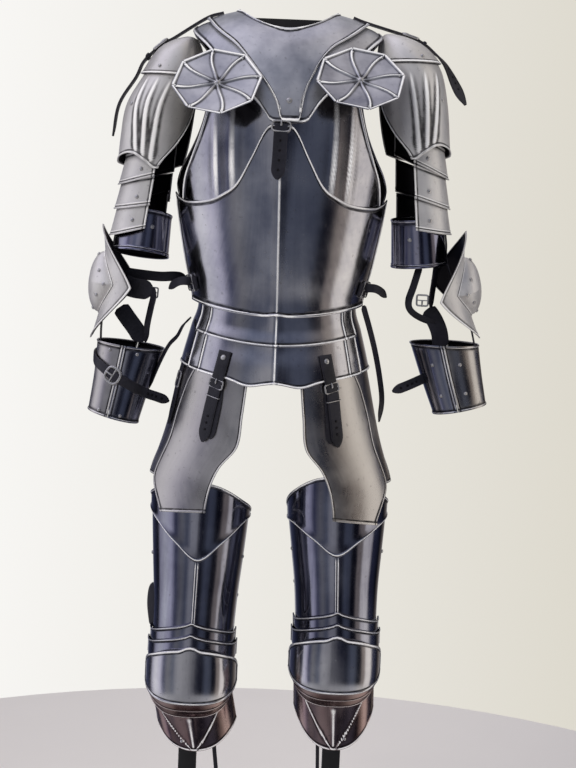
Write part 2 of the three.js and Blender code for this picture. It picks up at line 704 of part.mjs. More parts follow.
// The legs hang at slightly different heights: the knees, and the thigh plates' V above them.
const legPoses = { l: { lift: 13, vee: 8, top: 22, footX: 2 }, r: { lift: -13, vee: -8, top: 0, footX: -11 } };

function legRings({ lift, vee, top }) {
  return [
    level(835 + top, 104, 76, 82, 70), level(780, 105, 75, 80, 68), level(711 + vee, 107, 70, 76, 64),
    level(650 + lift, 109, 65, 72, 60), level(590 + lift, 111, 62.8, 70.4, 58),
    level(545 + lift, 112, 62.8, 70.4, 58),
  ];
}
const legs = { l: ringSurface(legRings(legPoses.l)), r: ringSurface(legRings(legPoses.r)) };
const legPlace = (side, z, angle) => [placeAtHeight(legs[side], z, angle, 0, 5), angle];

// The top edge of the thigh plate and the V across it, by angle from the front.
const thighTop = [
  { angle: -102, z: 770 }, { angle: -60, z: 797 }, { angle: -15, z: 829 }, { angle: 30, z: 830 },
  { angle: 70, z: 808 }, { angle: 106, z: 790 },
];
const thighVee = [
  { angle: -102, z: 764 }, { angle: -62, z: 764 }, { angle: -30, z: 742 }, { angle: -2, z: 718 },
  { angle: 26, z: 742 }, { angle: 60, z: 768 }, { angle: 106, z: 780 },
];
const thighBottom = 592;

// The part above the V stands out, and the step follows the V.
function cuisse(side) {
  const [above, below, step] = [0.375, 0.5, 1.8];
  const { lift, vee: veeLift, top: topLift } = legPoses[side];
  const place = (u, v) => {
    const angle = mix(-102, 106, u);
    const top = look(thighTop, 'angle', angle, 'z') + topLift * Math.exp(-(((angle + 45) / 70) ** 2));
    const vee = look(thighVee, 'angle', angle, 'z') + veeLift * Math.cos(angle * degree) ** 2;
    let z;
    if (v <= above) z = mix(top, vee + 2, v / above);
    else if (v <= below) z = mix(vee + 2, vee - 1, (v - above) / (below - above));
    else z = mix(vee - 1, thighBottom + lift, (v - below) / (1 - below));
    return legPlace(side, z, angle * degree);
  };
  return plate(legs[side], place, { across: 16, down: 8, relief: (u, v) => (v <= above ? step : 0) });
}

// Lames above the knee: each lower one lies over the one above it, and its top edge peaks in front.
function kneeLame(side, topMiddle, bottomMiddle, lift) {
  const drop = (angle) => 20 * Math.sin(angle) ** 2;
  const peak = (angle) => 4 * Math.exp(-((angle / (14 * degree)) ** 2));
  const place = (u, v) => {
    const angle = mix(-96, 96, u) * degree;
    const z = mix(topMiddle + peak(angle), bottomMiddle, v) - drop(angle) + legPoses[side].lift;
    return legPlace(side, z, angle);
  };
  return plate(legs[side], place, { across: 16, down: 1, lift });
}

// The knee's plates are turned about one level axis through the side rivets, so the lower ones slide
// under the cop as the knee bends. Down is the angle below the axis, and the top half is drawn taller.
const knee = { x: 111, y: 0, z: 525, half: 71, reach: 87, taller: 1.6, square: 0.75 };

function kneeForm(taller) {
  return (down, side) => {
    const wide = knee.half * Math.sign(side) * Math.abs(Math.sin(side)) ** knee.square;
    const radius = knee.reach * Math.abs(Math.cos(side)) ** knee.square;
    const rise = -radius * Math.sin(down) * (down < 0 ? taller : 1);
    return new THREE.Vector3(knee.x + wide, knee.y - radius * Math.cos(down), knee.z + rise);
  };
}
const [copForm, turnedForm] = [kneeForm(knee.taller), kneeForm(1)];

const kneeSide = 84;
const kneeCells = 14;

function kneePlate(poseSide, form, from, to, lift, down, flare = 0) {
  const place = (u, v) => {
    const side = (2 * u - 1) * kneeSide;
    const start = from - flare * (side / kneeSide) ** 4;
    return [mix(start, to, v) * degree, side * degree];
  };
  return plate(form, place, { across: kneeCells, down, lift }).translate(0, 0, legPoses[poseSide].lift);
}

// The plate below the knee: it leaves the turned form and runs down to a keeled point.
const shin = { top: 29, leave: 41, half: 62, front: 66, tip: 414, sideFoot: 458, lift: -3 * layer };

function shinSurface(at, side, footX, tip) {
  const [s, c] = [Math.sin(side), Math.cos(side)];
  const turnDown = mix(shin.top, shin.leave, Math.min(at, 1)) * degree;
  const start = lifted(turnedForm, turnDown, side, shin.lift);
  if (at <= 1) return start;
  const f = at - 1;
  const foot = new THREE.Vector3(
    knee.x + footX + shin.half * Math.sign(s) * Math.abs(s) ** 0.85,
    knee.y - shin.front * Math.abs(c) ** 0.8 - 3 * Math.exp(-((side / (10 * degree)) ** 2)) * f,
    mix(tip, shin.sideFoot, Math.abs(s) ** 2.2),
  );
  const bend = start.clone().lerp(foot, 0.35);
  bend.y = start.y + 0.1 * (foot.y - start.y);
  const near = start.clone().lerp(bend, f);
  return near.lerp(bend.clone().lerp(foot, f), f);
}

function demiGreave(side) {
  const { lift, footX } = legPoses[side];
  const surface = (at, round) => shinSurface(at, round, footX, shin.tip - 0.6 * lift);
  const place = (u, v) => [2 * v, (2 * u - 1) * kneeSide * degree];
  return plate(surface, place, { across: kneeCells, down: 6 }).translate(0, 0, lift);
}

// The strap that holds the thigh plate to the post, round the back, with its ends inside the plate's edges.
function thighStrap(side) {
  const height = 650 + legPoses[side].lift;
  const angles = [98, 112, 130, 150, 180, 210, 230, 248, 262];
  const line = angles.map((angle) => {
    const lift = angle < 118 || angle > 242 ? -steel - 0.1 - seam - leather / 2 : -2;
    return over(legs[side], legPlace(side, height, angle * degree), lift);
  });
  return strap(line, { width: 20, steps: 18 });
}

function legAndSkirt(side, mirrored) {
  const group = new THREE.Group();
  group.scale.x = mirrored ? -1 : 1;
  const add = (name, geometry, finish = material.steel) => group.add(piece(`${name}_${side}`, geometry, finish));
  add('tasset', tasset(tassetEdges, tassetFoot[side], 9, -2 * layer - 0.3, 8, 8));
  add('rear_tasset', tasset(rearTassetEdges, [834, 834], 9, -3 * layer - 0.4, 7, 5));
  add('tasset_strap', tassetStrap(), material.leather);
  add('waist_strap', waistStrap(), material.leather);
  add('cuisse', cuisse(side));
  add('knee_lame_1', kneeLame(side, 620, 594, layer));
  add('knee_lame_2', kneeLame(side, 602, 576, 2 * layer));
  add('knee_cop', kneePlate(side, copForm, -25, 17, 0, 5, 20));
  add('shin_lame_1', kneePlate(side, turnedForm, -14, 28, -layer, 5));
  add('shin_lame_2', kneePlate(side, turnedForm, 16, 40, -2 * layer, 3));
  add('demi_greave', demiGreave(side));
  add('thigh_strap', thighStrap(side), material.leather);
  return group;
}

// The stand

const stand = {
  boardWide: 480, boardDeep: 360, boardThick: 20,
  post: 28, postX: 115, postY: 38.2, hip: 976, rail: 26,
  spine: 30, headZ: 1508, yokeDeep: 16, yokeDrop: 26, yokeGap: 1.4,
};

function standFrame() {
  const { post, postX, postY, hip, rail, spine, headZ, boardThick } = stand;
  const foot = boardThick + 0.3;
  const posts = [-postX, postX].map((x) => box(post, post, hip + rail - foot, x, postY, foot));
  const depth = postY + post / 2 + spine / 2;
  const hipRail = box(2 * postX + post, post, rail, 0, postY, hip);
  const link = box(spine, depth, rail, 0, depth / 2 - spine / 2, hip);
  const spinePost = box(spine, spine, headZ - hip, 0, 0, hip);
  return joined(...posts, hipRail, link, spinePost, yoke());
}

// The bar that the gorget's shoulders lie on: its top follows the inside of the shoulder line.
function yoke() {
  const { yokeDeep: deep, yokeDrop: drop, yokeGap } = stand;
  const places = [0.15, 0.5, 0.85, 1.2, 1.5];
  const top = places.map((at) => {
    const point = body(at, 90 * degree);
    return new THREE.Vector2(point.x, point.z - yokeGap);
  });
  const last = top[top.length - 1];
  const right = [...top, new THREE.Vector2(last.x, last.y - drop / 2), new THREE.Vector2(40, 1470)];
  const left = right.map((p) => new THREE.Vector2(-p.x, p.y)).reverse();
  const shape = new THREE.Shape([...right, ...left]);
  const bar = new THREE.ExtrudeGeometry(shape, { depth: deep, bevelEnabled: false });
  return bar.rotateX(Math.PI / 2).translate(0, deep / 2, 0);
}

// The whole

const armour = new THREE.Group();
armour.add(
  piece('breastplate', breastplate(), material.steel),
  piece('plackart', plackart(), material.steel),
  piece('backplate', backplate(), material.steel),
  piece('gorget_front', gorgetPlate(gorgetFrontEdge, 0, 18, 6, gorgetLean), material.steel),
  piece('gorget_back', gorgetPlate(gorgetBackEdge, 180, 14, 4), material.steel),
  piece('collar', collar(), material.steel),
  piece('fauld_upper', skirtHoop(6.85, row.hip, 0, 18, 3), material.steel),
  piece('fauld_lower', skirtHoop(7.8, row.skirt, -layer, 18, 3, skirtDip), material.steel),
  piece('culet', culet(), material.steel),
  piece('breast_strap', breastStrap(), material.leather),
);

// Where the discs hang, and how many degrees their tops lie back.
const discPlaces = {
  l: { x: 105, y: -122.7, z: 1428, turn: -8, yaw: 4, lean: 45 },
  r: { x: -97, y: -131.1, z: 1416, turn: -10, yaw: -4, lean: 42 },
};
for (const [side, { x, y, z, turn, yaw, lean }] of Object.entries(discPlaces)) {
  const shield = piece(`besagew_${side}`, besagew(), material.steel);
  shield.position.set(x, y, z);
  shield.rotation.set((90 - lean) * degree, 0, yaw * degree, 'ZYX');
  shield.rotateZ(-turn * degree);
  armour.add(shield);
}

armour.add(arm('l', false), arm('r', true));
armour.add(legAndSkirt('l', false), legAndSkirt('r', true));
armour.add(
  piece('stand_board', box(stand.boardWide, stand.boardDeep, stand.boardThick, 0, 0, 0), material.stand),
  piece('stand_frame', standFrame(), material.stand),
);

export default armour;
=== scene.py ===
import math

import bmesh
import bpy
import numpy as np
from mathutils import Matrix, Vector


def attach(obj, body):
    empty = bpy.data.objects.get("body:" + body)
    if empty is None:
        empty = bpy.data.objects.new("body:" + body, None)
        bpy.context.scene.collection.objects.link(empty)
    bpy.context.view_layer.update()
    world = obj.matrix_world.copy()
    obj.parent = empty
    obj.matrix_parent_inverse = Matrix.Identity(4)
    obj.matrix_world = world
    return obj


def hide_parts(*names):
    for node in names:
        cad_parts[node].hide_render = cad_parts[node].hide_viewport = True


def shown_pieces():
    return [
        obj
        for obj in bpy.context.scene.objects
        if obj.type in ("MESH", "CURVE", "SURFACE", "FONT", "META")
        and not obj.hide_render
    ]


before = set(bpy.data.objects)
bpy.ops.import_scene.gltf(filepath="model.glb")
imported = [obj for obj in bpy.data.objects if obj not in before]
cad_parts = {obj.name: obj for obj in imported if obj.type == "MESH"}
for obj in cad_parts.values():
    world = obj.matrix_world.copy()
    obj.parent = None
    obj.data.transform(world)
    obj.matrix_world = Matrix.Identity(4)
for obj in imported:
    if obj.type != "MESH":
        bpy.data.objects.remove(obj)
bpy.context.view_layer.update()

scene = bpy.context.scene
mm = 0.001
degree = math.pi / 180
turnedOver = np.array([-1.0, 1.0, 1.0])
print("frame loaded with", len(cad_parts), "nodes")

# Camera: where it stands, in metres and degrees, and its focal length in pixels of the long side
camera = {"back": 2.4, "height": 1.31, "pitch": 8, "roll": 2.3, "focal": 1586, "longSide": 768, "aside": 14}


def addCamera():
    data = bpy.data.cameras.new("camera")
    data.sensor_width = 36
    data.lens = camera["focal"] / camera["longSide"] * data.sensor_width
    data.shift_x = camera["aside"] / camera["longSide"]
    made = bpy.data.objects.new("camera", data)
    place = Matrix.Translation((0, -camera["back"], camera["height"]))
    tip = Matrix.Rotation((90 - camera["pitch"]) * degree, 4, "X")
    made.matrix_world = place @ tip @ Matrix.Rotation(camera["roll"] * degree, 4, "Z")
    scene.collection.objects.link(made)
    scene.camera = made


addCamera()

# Reading tables of named rows, and the surfaces they make. Everything up to the meshes is in millimetres.


def smoothRow(table, at):
    last = len(table) - 1
    place = np.clip(at, 0, last)
    i = np.minimum(place.astype(int), last - 1)
    f = (place - i)[..., None]
    a, b, c, d = (table[np.clip(i + k, 0, last)] for k in (-1, 0, 1, 2))
    return b + 0.5 * f * (c - a + f * (2 * a - 5 * b + 4 * c - d + f * (3 * (b - c) + d - a)))


def look(rows, value):
    # rows of (key, wanted), key rising; a smooth curve through them
    keys, wanted = np.array(rows, float).T
    last = len(keys) - 1
    i = np.clip(np.searchsorted(keys, value) - 1, 0, last - 1)
    before, after = np.maximum(np.arange(last + 1) - 1, 0), np.minimum(np.arange(last + 1) + 1, last)
    slope = (wanted[after] - wanted[before]) / (keys[after] - keys[before])
    span = keys[i + 1] - keys[i]
    f = np.clip((value - keys[i]) / span, 0, 1)
    bend = f * f * (3 - 2 * f)
    ease = f * (1 - f) * span * (slope[i] * (1 - f) - slope[i + 1] * f)
    return mix(wanted[i], wanted[i + 1], bend) + ease


def onSide(side, *vectors):
    # everything is made for the wearer's left; the right one is turned over
    return [x * turnedOver for x in vectors] if side == "r" else vectors


def mix(a, b, f):
    return a + (b - a) * f


def bell(x, width):
    return np.exp(-((x / width) ** 2))


def ring(half, front, back, zFront, zSide, zBack, keel=0):
    return [0, 0, half, front, back, keel, 0, zFront, zSide, zBack]


def level(z, x, half, front, back=None, y=0, tilt=0):
    return [x, y, half, front, front if back is None else back, 0, tilt, z, z, z]


def ringSurface(rows):
    table = np.array(rows, float)

    def surface(at, angle):
        at, angle = np.broadcast_arrays(np.asarray(at, float), np.asarray(angle, float))
        x, y, half, front, back, keel, tilt, zFront, zSide, zBack = np.moveaxis(smoothRow(table, at), -1, 0)
        s, c = np.sin(angle), np.cos(angle)
        depth, zEnd = np.where(c > 0, front, back), np.where(c > 0, zFront, zBack)
        ridge = keel * bell(np.arctan2(s, c), 9 * degree)
        z = zSide + (zEnd - zSide) * c * c + tilt * half * s
        return np.stack([x + half * s, y - depth * c - ridge, z], -1)

    return surface


def outwardOf(surface, at, angle):
    step = 1e-3
    down = surface(at + step, angle) - surface(at - step, angle)
    sideways = surface(at, angle + step) - surface(at, angle - step)
    normal = np.cross(down, sideways)
    return normal / np.linalg.norm(normal, axis=-1, keepdims=True)


def lifted(surface, at, angle, lift):
    at, angle, lift = np.broadcast_arrays(np.asarray(at, float), np.asarray(angle, float),
                                          np.asarray(lift, float))
    return surface(at, angle) + outwardOf(surface, at, angle) * lift[..., None]


def over(surface, at, angle, lift):
    # a point that lies over a surface, and the way the surface faces there; the angle is in degrees
    at, angle = np.asarray(at, float), np.asarray(angle * degree, float)
    return lifted(surface, at, angle, lift), outwardOf(surface, at, angle)


def placeAtHeight(surface, z, angle, first, last):
    z, angle = np.broadcast_arrays(np.asarray(z, float), np.asarray(angle, float))
    above, below = np.full(z.shape, float(first)), np.full(z.shape, float(last))
    for _ in range(30):
        middle = (above + below) / 2
        higher = surface(middle, angle)[..., 2] > z
        above, below = np.where(higher, middle, above), np.where(higher, below, middle)
    return (above + below) / 2


# Materials. A node is made and wired in one line by these.


def feed(tree, socket, value):
    if isinstance(value, bpy.types.NodeSocket):
        tree.links.new(value, socket)
    elif value is not None:
        socket.default_value = value


def calc(tree, operation, *values, clamp=False):
    node = tree.nodes.new("ShaderNodeMath")
    node.operation, node.use_clamp = operation, clamp
    for socket, value in zip(node.inputs, values):
        feed(tree, socket, value)
    return node.outputs[0]


def times(tree, a, b):
    return calc(tree, "MULTIPLY", a, b)


def spread(tree, value, low, high, toLow=0.0, toHigh=1.0):
    node = tree.nodes.new("ShaderNodeMapRange")
    for socket, given in zip(node.inputs, (value, low, high, toLow, toHigh)):
        feed(tree, socket, given)
    return node.outputs[0]


def blendColour(tree, factor, a, b):
    node = tree.nodes.new("ShaderNodeMix")
    node.data_type = "RGBA"
    feed(tree, node.inputs["Factor"], factor)
    for socket, value in zip(node.inputs[6:8], (a, b)):
        feed(tree, socket, (*value, 1) if isinstance(value, tuple) else value)
    return node.outputs[2]


def noise(tree, vector, scale, detail=3.0, roughness=0.55, stretch=None):
    if stretch:
        mapping = tree.nodes.new("ShaderNodeMapping")
        feed(tree, mapping.inputs["Vector"], vector)
        mapping.inputs["Scale"].default_value = stretch
        vector = mapping.outputs[0]
    node = tree.nodes.new("ShaderNodeTexNoise")
    for label, value in (("Vector", vector), ("Scale", scale), ("Detail", detail), ("Roughness", roughness)):
        feed(tree, node.inputs[label], value)
    return node.outputs["Fac"]


def emboss(tree, shader, height, deep):
    bumped = tree.nodes.new("ShaderNodeBump")
    bumped.inputs["Distance"].default_value = deep * mm
    feed(tree, bumped.inputs["Height"], height)
    feed(tree, shader.inputs["Normal"], bumped.outputs[0])


def newGroup(name, inputs, outputs):
    group = bpy.data.node_groups.new(name, "ShaderNodeTree")
    for label, kind, value in inputs:
        socket = group.interface.new_socket(label, in_out="INPUT", socket_type=kind)
        if value is not None:
            socket.default_value = value
    for label in outputs:
        group.interface.new_socket(label, in_out="OUTPUT", socket_type="NodeSocketFloat")
    return group, group.nodes.new("NodeGroupInput").outputs, group.nodes.new("NodeGroupOutput").inputs


def useGroup(tree, group, **values):
    node = tree.nodes.new("ShaderNodeGroup")
    node.node_tree = group
    for label, value in values.items():
        feed(tree, node.inputs[label], value)
    return node.outputs


def polishGroup():
    # Long strokes of the polishing wheel, and the fine scratches between them
    inputs = [("UV", "NodeSocketVector", None), ("Fineness", "NodeSocketFloat", 12.0)]
    group, given, wanted = newGroup("polishing strokes", inputs, ["Strokes", "Scratches"])
    long = noise(group, given["UV"], given["Fineness"], 4.0, 0.6, (1, 0.06, 1))
    wide = noise(group, given["UV"], times(group, given["Fineness"], 0.22), 2.0, 0.5, (1, 0.16, 1))
    fine = noise(group, given["UV"], times(group, given["Fineness"], 9.0), 2.0, 0.7, (1, 0.03, 1))
    both = calc(group, "ADD", times(group, long, 0.45), times(group, wide, 0.55))
    group.links.new(spread(group, both, 0.33, 0.67), wanted["Strokes"])
    group.links.new(fine, wanted["Scratches"])
    return group


def handlingGroup():
    # Cloudy smears from hands and wax, small dull spots, and the dents left by the hammer
    inputs = [("Object", "NodeSocketVector", None), ("Size", "NodeSocketFloat", 1.0)]
    group, given, wanted = newGroup("handling", inputs, ["Smears", "Spots", "Dents"])

    def patches(fineness, detail, roughness):
        return noise(group, given["Object"], times(group, given["Size"], fineness), detail, roughness)

    cloud, spots, dents = patches(11.0, 4.0, 0.6), patches(160.0, 3.0, 0.6), patches(26.0, 1.0, 0.4)
    group.links.new(spread(group, cloud, 0.32, 0.68), wanted["Smears"])
    group.links.new(spread(group, spots, 0.62, 0.74), wanted["Spots"])
    group.links.new(dents, wanted["Dents"])
    return group


def wearAndShadeGroup():
    # Bright where edges and ridges get rubbing, with a painted highlight along their crests; painted shade in
    # the channel beside them
    inputs = [("Object", "NodeSocketVector", None)]
    group, given, wanted = newGroup("wearAndShade", inputs, ["Rubbed", "Grime"])
    mark = group.nodes.new("ShaderNodeAttribute")
    mark.attribute_name = "worn"
    broken = noise(group, given["Object"], 90.0, 3.0)
    rubbed = spread(group, mark.outputs["Fac"], 0.06, 0.45)
    rubbed = times(group, rubbed, spread(group, broken, 0.2, 0.5, 0.65, 1.0))
    grime = spread(group, mark.outputs["Fac"], -0.06, -0.5)
    grime = times(group, grime, spread(group, broken, 0.25, 0.6, 0.6, 1.0))
    group.links.new(rubbed, wanted["Rubbed"])
    group.links.new(grime, wanted["Grime"])
    return group


polishing, handling, wearAndShade = polishGroup(), handlingGroup(), wearAndShadeGroup()


def newMaterial(name):
    made = bpy.data.materials.new(name)
    made.use_nodes = True
    tree = made.node_tree
    shader = tree.nodes["Principled BSDF"]
    coordinates = tree.nodes.new("ShaderNodeTexCoord").outputs
    return made, tree, shader, coordinates


# colours of dull spots, of the painted highlight on crests, and of the painted shade beside them
marks = {"spot": (0.12, 0.11, 0.11), "rubbed": (0.97, 0.96, 0.95), "grime": (0.012, 0.011, 0.014)}


def steelFinish(name, light, dark, rough, vary=0.12, fineness=12.0, size=1.0, bump=0.25, dents=1.0, metal=1.0,
                cloud=0.5):
    # vary is how much its roughness changes, fineness that of the polishing strokes, size that of the smears,
    # spots and dents, and cloud how much of its tone lies in wide smears instead of fine strokes
    made, tree, shader, coordinates = newMaterial(name)
    strokes = useGroup(tree, polishing, UV=coordinates["UV"], Fineness=fineness)
    hands = useGroup(tree, handling, Object=coordinates["Object"], Size=size)
    edges = useGroup(tree, wearAndShade, Object=coordinates["Object"])
    inStrokes, inSmears = times(tree, strokes["Strokes"], 1 - cloud), times(tree, hands["Smears"], cloud)
    colour = blendColour(tree, calc(tree, "ADD", inStrokes, inSmears), dark, light)
    # dull spots, then the crests' rubbing with its painted highlight, then painted shade beside them
    for amount, share, mark in ((hands["Spots"], 0.3, "spot"), (edges["Rubbed"], 0.95, "rubbed"),
                                (edges["Grime"], 0.92, "grime")):
        colour = blendColour(tree, times(tree, amount, share), colour, marks[mark])
    feed(tree, shader.inputs["Base Color"], colour)
    # crests with their painted highlight are made less metallic, so they show as a pale diffuse tone
    metallic = calc(tree, "MULTIPLY_ADD", edges["Rubbed"], -0.95, metal, clamp=True)
    feed(tree, shader.inputs["Metallic"], metallic)
    dull = calc(tree, "MULTIPLY_ADD", hands["Smears"], vary, rough - 0.5 * vary)
    dull = calc(tree, "MULTIPLY_ADD", strokes["Strokes"], 0.5 * vary, dull)
    dull = calc(tree, "MULTIPLY_ADD", hands["Spots"], 0.1, dull)
    dull = calc(tree, "MULTIPLY_ADD", edges["Grime"], 0.3, dull, clamp=True)
    feed(tree, shader.inputs["Roughness"], dull)
    relief = calc(tree, "MULTIPLY_ADD", strokes["Scratches"], 0.03, times(tree, strokes["Strokes"], 0.16))
    relief = calc(tree, "MULTIPLY_ADD", hands["Dents"], dents, relief)
    emboss(tree, shader, relief, bump)
    return made


def leatherFinish():
    made, tree, shader, coordinates = newMaterial("black leather")
    hands = useGroup(tree, handling, Object=coordinates["Object"], Size=2.0)
    edges = useGroup(tree, wearAndShade, Object=coordinates["Object"])
    colour = blendColour(tree, hands["Smears"], (0.006, 0.006, 0.009), (0.022, 0.021, 0.03))
    colour = blendColour(tree, times(tree, edges["Rubbed"], 0.55), colour, (0.09, 0.08, 0.085))
    feed(tree, shader.inputs["Base Color"], colour)
    feed(tree, shader.inputs["Roughness"], spread(tree, hands["Smears"], 0, 1, 0.36, 0.58))
    cells = tree.nodes.new("ShaderNodeTexVoronoi")
    feed(tree, cells.inputs["Vector"], coordinates["Object"])
    cells.inputs["Scale"].default_value = 950.0
    creases = noise(tree, coordinates["UV"], 30.0, 3.0, 0.6, (0.25, 1, 1))
    relief = calc(tree, "ADD", times(tree, cells.outputs["Distance"], 0.35), creases)
    emboss(tree, shader, relief, 0.4)
    return made


def paintFinish():
    made, tree, shader, coordinates = newMaterial("black stand paint")
    hands = useGroup(tree, handling, Object=coordinates["Object"], Size=0.8)
    colour = blendColour(tree, hands["Smears"], (0.008, 0.008, 0.009), (0.02, 0.019, 0.02))
    colour = blendColour(tree, times(tree, hands["Spots"], 0.25), colour, (0.09, 0.085, 0.08))
    feed(tree, shader.inputs["Base Color"], colour)
    feed(tree, shader.inputs["Roughness"], spread(tree, hands["Smears"], 0, 1, 0.38, 0.6))
    grain = noise(tree, coordinates["Object"], 60.0, 4.0, 0.6, (1, 1, 0.08))
    emboss(tree, shader, grain, 0.3)
    return made


# Lit and shaded copies of one steel: the shoulders' and arms' steel is a lighter, less metallic copy, painted
# light; the leg steel is a darker, bluer copy, painted dark reflections on thighs, knees and inner forearms.
# The satin steel is a rougher finish whose lighter tone also serves as painted light on the outer forearms.
steels = {
    "polished": dict(name="polished steel", light=(0.74, 0.73, 0.76), dark=(0.36, 0.36, 0.42), rough=0.14,
                     cloud=0.75),
    "satin": dict(name="satin steel", light=(0.8, 0.77, 0.74), dark=(0.44, 0.42, 0.42), rough=0.27, vary=0.2,
                  fineness=14.0, bump=0.22, dents=0.5, cloud=0.7),
    "bright": dict(name="bright steel", light=(0.86, 0.84, 0.82), dark=(0.6, 0.58, 0.58), rough=0.4,
                   vary=0.14, fineness=16.0, metal=0.55, cloud=0.7),
    "cloudy": dict(name="cloudy steel", light=(0.8, 0.8, 0.83), dark=(0.24, 0.25, 0.3), rough=0.32, vary=0.2,
                   fineness=9.0, metal=0.8, cloud=0.92),
    "shaded": dict(name="shaded leg steel", light=(0.47, 0.48, 0.56), dark=(0.17, 0.17, 0.23), rough=0.12,
                   vary=0.1, cloud=0.6),
    # the shins' steel: tinted dark maroon, a painted reflection
    "browned": dict(name="browned shin steel", light=(0.5, 0.38, 0.36), dark=(0.24, 0.15, 0.16), rough=0.2,
                    vary=0.2, cloud=0.8),
    "blued": dict(name="dark steel", light=(0.5, 0.5, 0.6), dark=(0.2, 0.2, 0.3), rough=0.13, vary=0.1),
    "inside": dict(name="unpolished inside", light=(0.06, 0.055, 0.06), dark=(0.02, 0.02, 0.024),
                   rough=0.5, vary=0.2, fineness=8.0),
    "fitting": dict(name="buckle steel", light=(0.75, 0.74, 0.73), dark=(0.5, 0.49, 0.5), rough=0.24,
                    fineness=30.0, size=3.0, bump=0.05, metal=0.85),
}
finishes = {key: steelFinish(**values) for key, values in steels.items()}
finishes.update(leather=leatherFinish(), paint=paintFinish())
slotOf = {key: "steel" for key in steels if key != "inside"}
slotOf.update(blued="dark_steel", leather="leather", paint="stand")
print("materials made:", ", ".join(finishes))

# Meshes. A sheet is a grid whose points are moved onto their surface; modifiers give it its thickness.


def linkPiece(name, bm, finish, body, nodes=()):
    mesh = bpy.data.meshes.new(name)
    bm.to_mesh(mesh)
    bm.free()
    mesh.shade_smooth()
    piece = bpy.data.objects.new(name, mesh)
    scene.collection.objects.link(piece)
    mesh.materials.append(finishes[finish])
    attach(piece, body)
    if nodes:
        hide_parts(*nodes)
    return piece


sharp = 50  # degrees between two faces from which their edge is softened


def thicken(piece, wall, bevel=0.35):
    solid = piece.modifiers.new("wall", "SOLIDIFY")
    solid.thickness, solid.offset = wall * mm, -1
    soft = piece.modifiers.new("soft edges", "BEVEL")
    soft.width, soft.segments = bevel * mm, 2
    soft.limit_method, soft.angle_limit = "ANGLE", sharp * degree
    return solid


def backed(piece, wall):
    # the plate's thickness; its inside is left unpolished
    piece.data.materials.append(finishes["inside"])
    thicken(piece, wall).material_offset = 1
    return piece


def fillCentre(bm, longest):
    # the small hole that a round sheet's rows leave in its middle
    rim = [edge for edge in bm.edges if edge.is_boundary and edge.calc_length() < longest * mm]
    if rim:
        bmesh.ops.holes_fill(bm, edges=rim, sides=0)


def blurred(values, closed):
    # each value's mean with its two neighbours to each side, down and across
    total = np.zeros_like(values)
    for axis, mode in ((0, "edge"), (1, "wrap" if closed else "edge")):
        padding = [(2, 2) if k == axis else (0, 0) for k in (0, 1)]
        padded = np.moveaxis(np.pad(values, padding, mode=mode), axis, 0)
        near = sum(np.roll(padded, k, 0)[2:-2] for k in (-2, -1, 0, 1, 2)) / 5
        total += np.moveaxis(near, 0, axis)
    return total / 2


def gridMesh(points, outward, raised, closed=False, beside=0.0):
    # points are rows by columns; a closed sheet's last column repeats its first
    rows, columns = points.shape[:2]
    along = np.linalg.norm(np.diff(points, axis=1), axis=-1)
    down = np.linalg.norm(np.diff(points, axis=0), axis=-1)
    u = np.concatenate([np.zeros((rows, 1)), np.cumsum(along, 1)], 1)
    u -= u[:, [columns // 2]]
    v = np.concatenate([np.zeros((1, columns)), np.cumsum(down, 0)], 0)
    # positive on crests and ridges for the painted highlight, negative in hollows and beside turned-over
    # edges for painted shade
    worn = np.clip((raised - blurred(raised, closed)) / 0.4, -1, 1)
    worn = worn - np.clip(worn + 1, 0, 1) * beside * (worn < 0.3)
    bm = bmesh.new()
    bmesh.ops.create_grid(bm, x_segments=columns - 1, y_segments=rows - 1, size=1, calc_uvs=True)
    mark = bm.verts.layers.float.new("worn")
    placeOf = {}
    for vert in bm.verts:
        i = round((vert.co.x + 1) / 2 * (columns - 1))
        j = round((vert.co.y + 1) / 2 * (rows - 1))
        placeOf[vert] = (j, i)
        vert.co = Vector(points[j, i]) * mm
        vert[mark] = worn[j, i]
    uv = bm.loops.layers.uv.verify()
    for face in bm.faces:
        for corner in face.loops:
            j, i = placeOf[corner.vert]
            corner[uv].uv = (u[j, i] * 0.01, -v[j, i] * 0.01)
    bm.normal_update()
    facing = sum(face.normal.dot(Vector(outward[placeOf[face.verts[0]]])) for face in bm.faces)
    if facing < 0:
        bmesh.ops.reverse_faces(bm, faces=bm.faces)
    if closed:
        bmesh.ops.remove_doubles(bm, verts=bm.verts, dist=1e-6)
    return bm


def rolled(distance, width, height):
    x = np.clip(0.14 + 0.86 * distance / width, 0, 1)
    return height * np.sqrt(np.clip(1 - (2 * x - 1) ** 2, 0, 1))


def samples(count, length, width, start, end):
    near = np.array([0, 0.12, 0.3, 0.52, 0.76, 0.94, 1, 1.18, 1.42, 2.0]) * width / length
    first = near if start else near[:1]
    last = 1 - near[::-1] if end else 1 - near[:1]
    return np.concatenate([first, np.linspace(first[-1], last[0], int(0.93 * count) + 1)[1:-1], last])


def placed(points, turn):
    return points @ turn[:3, :3].T + turn[:3, 3]


